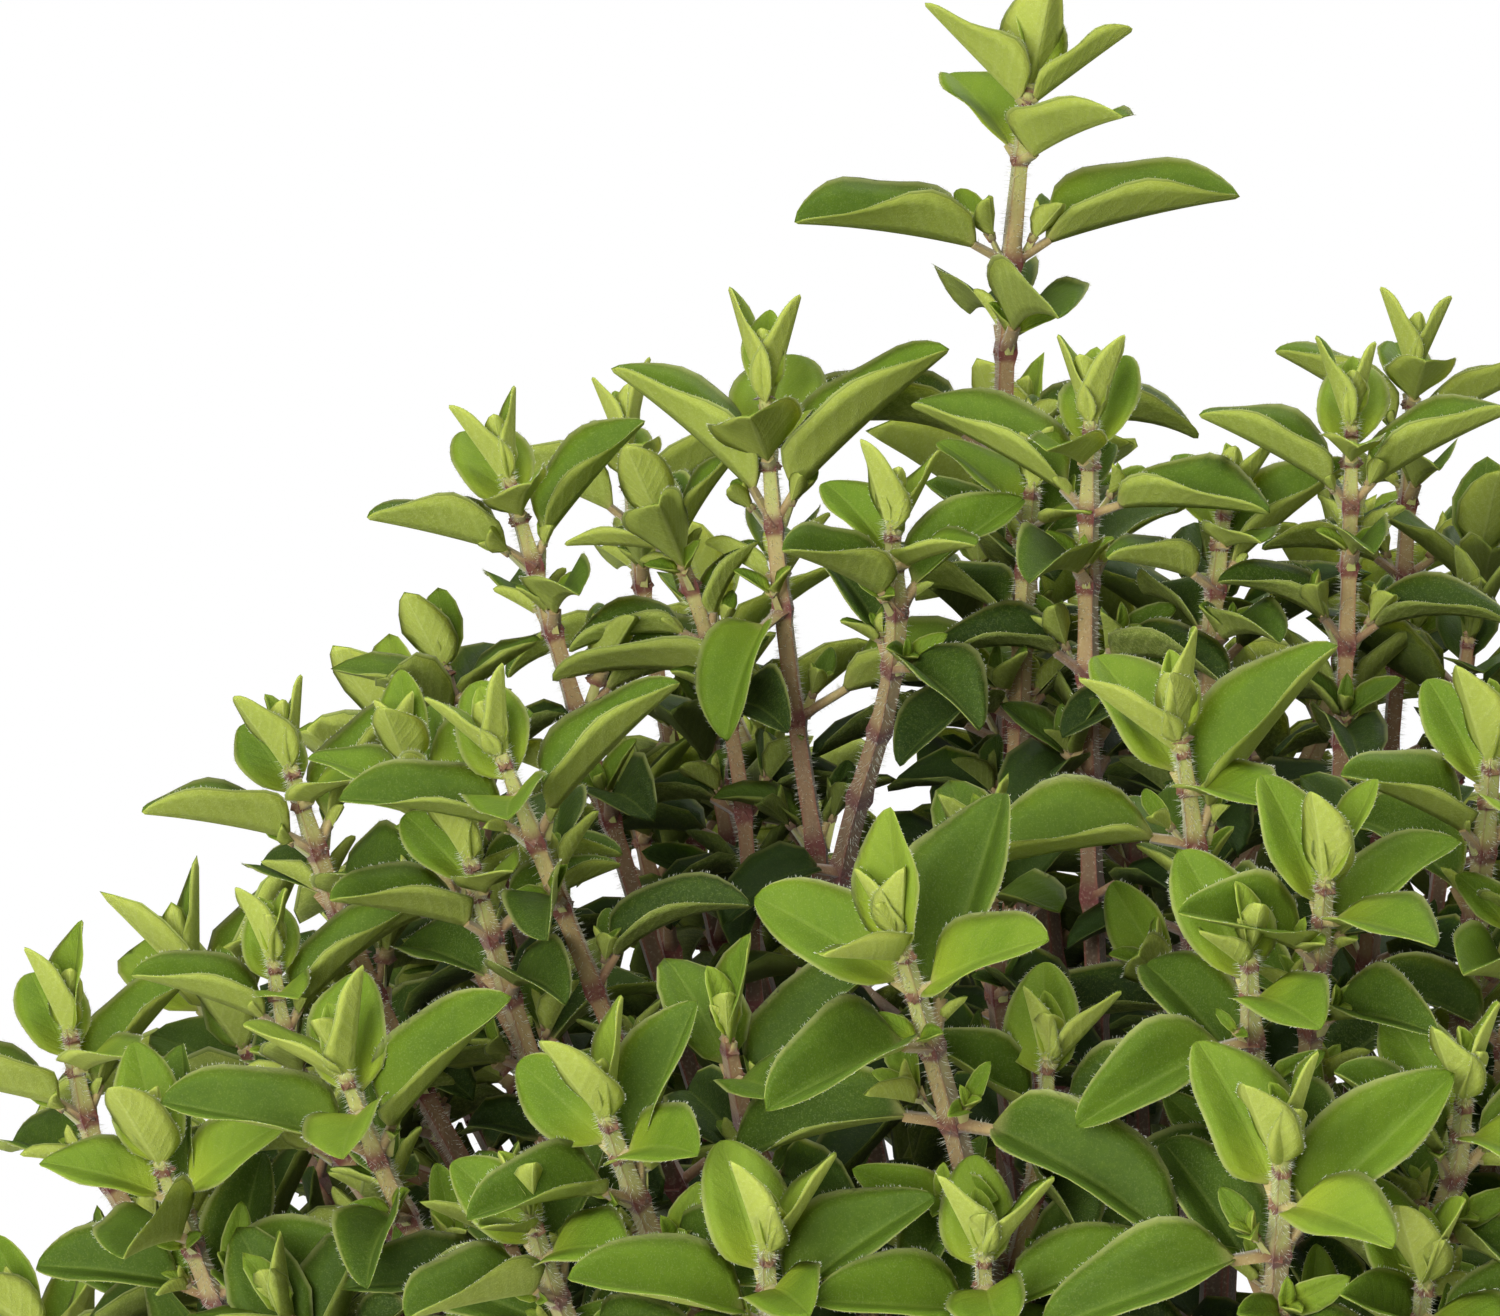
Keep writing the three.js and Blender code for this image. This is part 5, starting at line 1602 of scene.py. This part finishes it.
share = np.linspace(0, 1, SOIL_RINGS)[1:]
turn = np.arange(SOIL_TURNS) * 2 * np.pi / SOIL_TURNS
x, y = np.outer(share, np.cos(turn)) * SOIL_RADIUS, np.outer(share, np.sin(turn)) * SOIL_RADIUS
z = SOIL_TOP - BED_LOWER + lumps(x, y) * (1 - share[:, None] ** 8)
bed = np.stack([x, y, z], -1).reshape(-1, 3)
skirt = np.stack([x[-1] * 0.95, y[-1] * 0.95, np.full(SOIL_TURNS, SOIL_TOP - BED_DEPTH)], -1)
points = np.vstack([bed, skirt, [(0, 0, SOIL_TOP)], [(0, 0, SOIL_TOP - BED_DEPTH)]])
last_ring = len(share) * SOIL_TURNS
faces = []
for j in range(SOIL_TURNS):
    following = (j + 1) % SOIL_TURNS
    for i in range(len(share)):
        a, b = i * SOIL_TURNS + j, i * SOIL_TURNS + following
        faces.append((a, a + SOIL_TURNS, b + SOIL_TURNS, b))
    faces.append((last_ring + SOIL_TURNS, j, following))
    faces.append((last_ring + SOIL_TURNS + 1, last_ring + following, last_ring + j))
soil_mesh = bpy.data.meshes.new("potting_soil")
soil_mesh.from_pydata((points * MM).tolist(), [], faces)
potting_soil = linked("potting_soil", soil_mesh)
soil_mesh.shade_smooth()

# %% Crumbs on it
CRUMBS, CRUMB_SIZES, CRUMB_UNEVEN, CRUMB_FLAT = 520, (0.5, 1.3), (0.7, 0.5), [1, 1, 0.75]
CRUMBS_INSIDE, CRUMBS_SUNK = 2.5, 0.4
corner = (1 + math.sqrt(5)) / 2
ball = np.array([(a, b * corner, 0) for a in (-1, 1) for b in (-1, 1)]
                + [(0, a, b * corner) for a in (-1, 1) for b in (-1, 1)]
                + [(a * corner, 0, b) for a in (-1, 1) for b in (-1, 1)]) / 1.9


def next_to(i, j):
    return np.linalg.norm(ball[i] - ball[j]) < 1.1


def faces_out(i, j, k):
    return np.cross(ball[j] - ball[i], ball[k] - ball[i]) @ ball[i] > 0


near = [(i, j, k) for i in range(12) for j in range(i + 1, 12) for k in range(j + 1, 12)
        if next_to(i, j) and next_to(j, k) and next_to(i, k)]
ball_faces = np.array([face if faces_out(*face) else face[::-1] for face in near])
crumb_basket = Basket()
place = rng.random((CRUMBS, 2))
radius, turn = np.sqrt(place[:, 0]) * (SOIL_RADIUS - CRUMBS_INSIDE), place[:, 1] * 2 * np.pi
cx, cy = radius * np.cos(turn), radius * np.sin(turn)
size = (CRUMB_SIZES[0] + CRUMB_SIZES[1] * rng.random(CRUMBS) ** 3)[:, None, None]
shape = ball[None] * vary(*CRUMB_UNEVEN, (CRUMBS, 12, 1)) * size * CRUMB_FLAT
centre = np.stack([cx, cy, SOIL_TOP - CRUMBS_SUNK + lumps(cx, cy) * (1 - (radius / SOIL_RADIUS) ** 8)], 1)
crumb_basket.add(shape + centre[:, None], [ball_faces])

# %% [markdown]
# ## The look of peat
# Peat is nearly black where it is damp and brown where it is dry, with fibres and specks. Two noises mixed by
# a third keep it from looking like one flat brown.

# %% Soil material
begin("peat")
damp, specks, fibre = cloud(45, 4), cloud(1100, 3), cloud(380, 4, (1, 0.25, 1))
earth = mix(damp.between(0.35, 0.65), (0.030, 0.018, 0.011), (0.085, 0.050, 0.030))
earth = mix(fibre.between(0.55, 0.75) * 0.5, earth, (0.15, 0.09, 0.052))
earth = mix(specks.between(0.66, 0.74) * 0.6, earth, (0.30, 0.23, 0.16))
rough, height = 0.9 - specks * 0.15, specks + fibre * 0.8
peat = finished(
    {"Base Color": earth, "Roughness": rough, "Normal": relief(height, 0.9, 0.0012)},
    Specular_IOR_Level=0.2,
)
potting_soil.data.materials.append(peat)
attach(potting_soil, "root")
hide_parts("soil")
crumbs = crumb_basket.piece("soil_crumbs", peat, "soil", "soil")
print("soil:", triangles_of(potting_soil), "and crumbs:", triangles_of(crumbs), "triangles")

# %% [markdown]
# ## Floor and light
# The plant stands in an even white room. A pale disc takes its shadow, a white world gives light from all
# round, and three large soft lamps give it shape: one from the front left, one above and one behind.

# %% Floor
FLOOR_RADIUS, FLOOR_TURNS, FLOOR_BELOW, FADES = 0.68, 128, 0.0002, (0.3, 0.66)
begin("studio_floor")
place = Wire.node("TexCoord", out="Object")
distance = Wire.node("VectorMath", {"operation": "LENGTH"}, {0: place}, out="Value")
white = mix(cloud(3), (0.88, 0.88, 0.88), (0.90, 0.90, 0.895))
studio_floor = finished({"Base Color": white, "Alpha": 1 - distance.between(*FADES)}, Roughness=0.9)
floor_mesh = bpy.data.meshes.new("floor")
turn = np.arange(FLOOR_TURNS) * 2 * np.pi / FLOOR_TURNS
level = np.full(FLOOR_TURNS, -FLOOR_BELOW)
rim = np.stack([FLOOR_RADIUS * np.cos(turn), FLOOR_RADIUS * np.sin(turn), level], 1)
floor_mesh.from_pydata(rim.tolist(), [], [list(range(FLOOR_TURNS))])
floor_mesh.materials.append(studio_floor)
floor = linked("floor", floor_mesh)
floor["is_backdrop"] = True

# %% A white room that is seen but gives no light of its own
ROOM_RADIUS = 9
begin("room_white")
glow = Wire.node("Emission", None, {"Color": (1, 1, 1, 1), "Strength": 1.0})
Wire.tree.links.new(glow.socket, Wire.tree.nodes["Material Output"].inputs["Surface"])
bpy.ops.mesh.primitive_uv_sphere_add(segments=32, ring_count=16, radius=ROOM_RADIUS)
room = bpy.context.object
room.name = "room"
room.data.materials.append(Wire.material)
room.visible_diffuse = room.visible_glossy = room.visible_transmission = room.visible_shadow = False
room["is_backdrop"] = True

# %% World and lamps
ROOM_LIGHT = 0.30
scene = bpy.context.scene
scene.view_settings.view_transform = "Standard"
scene.world = bpy.data.worlds.new("white_room")
scene.world.use_nodes = True
background = scene.world.node_tree.nodes["Background"].inputs
background["Color"].default_value = (1, 1, 1, 1)
background["Strength"].default_value = ROOM_LIGHT


def lamp(name, place, aim, size, power):
    data = bpy.data.lights.new(name, "AREA")
    data.size, data.energy = size, power
    made = linked(name, data)
    way = np.array(aim, float) - np.array(place, float)
    made.rotation_euler = Vector(way).to_track_quat("-Z", "Y").to_euler()
    made.location = place
    made.visible_camera = False


PLANT_MIDDLE = (0, 0, 0.18)
lamp("key", (-0.7, -1.5, 0.6), PLANT_MIDDLE, 1.1, 38)
lamp("top", (0.1, -0.3, 1.7), PLANT_MIDDLE, 0.8, 14)
lamp("back", (0.8, 1.1, 1.2), PLANT_MIDDLE, 1.0, 14)
print("lights set")

# %% [markdown]
# ## Sizes
# The dressed plant has to stay close to the bare model, so both boxes are kept side by side.

# %% Boxes and the end
dressed_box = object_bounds()
for name, box in (("bare", bare_box), ("dressed", dressed_box)):
    print(name, [[round(x * 1000, 1) for x in p] for p in box])
print("all triangles:", sum(triangles_of(o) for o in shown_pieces()))
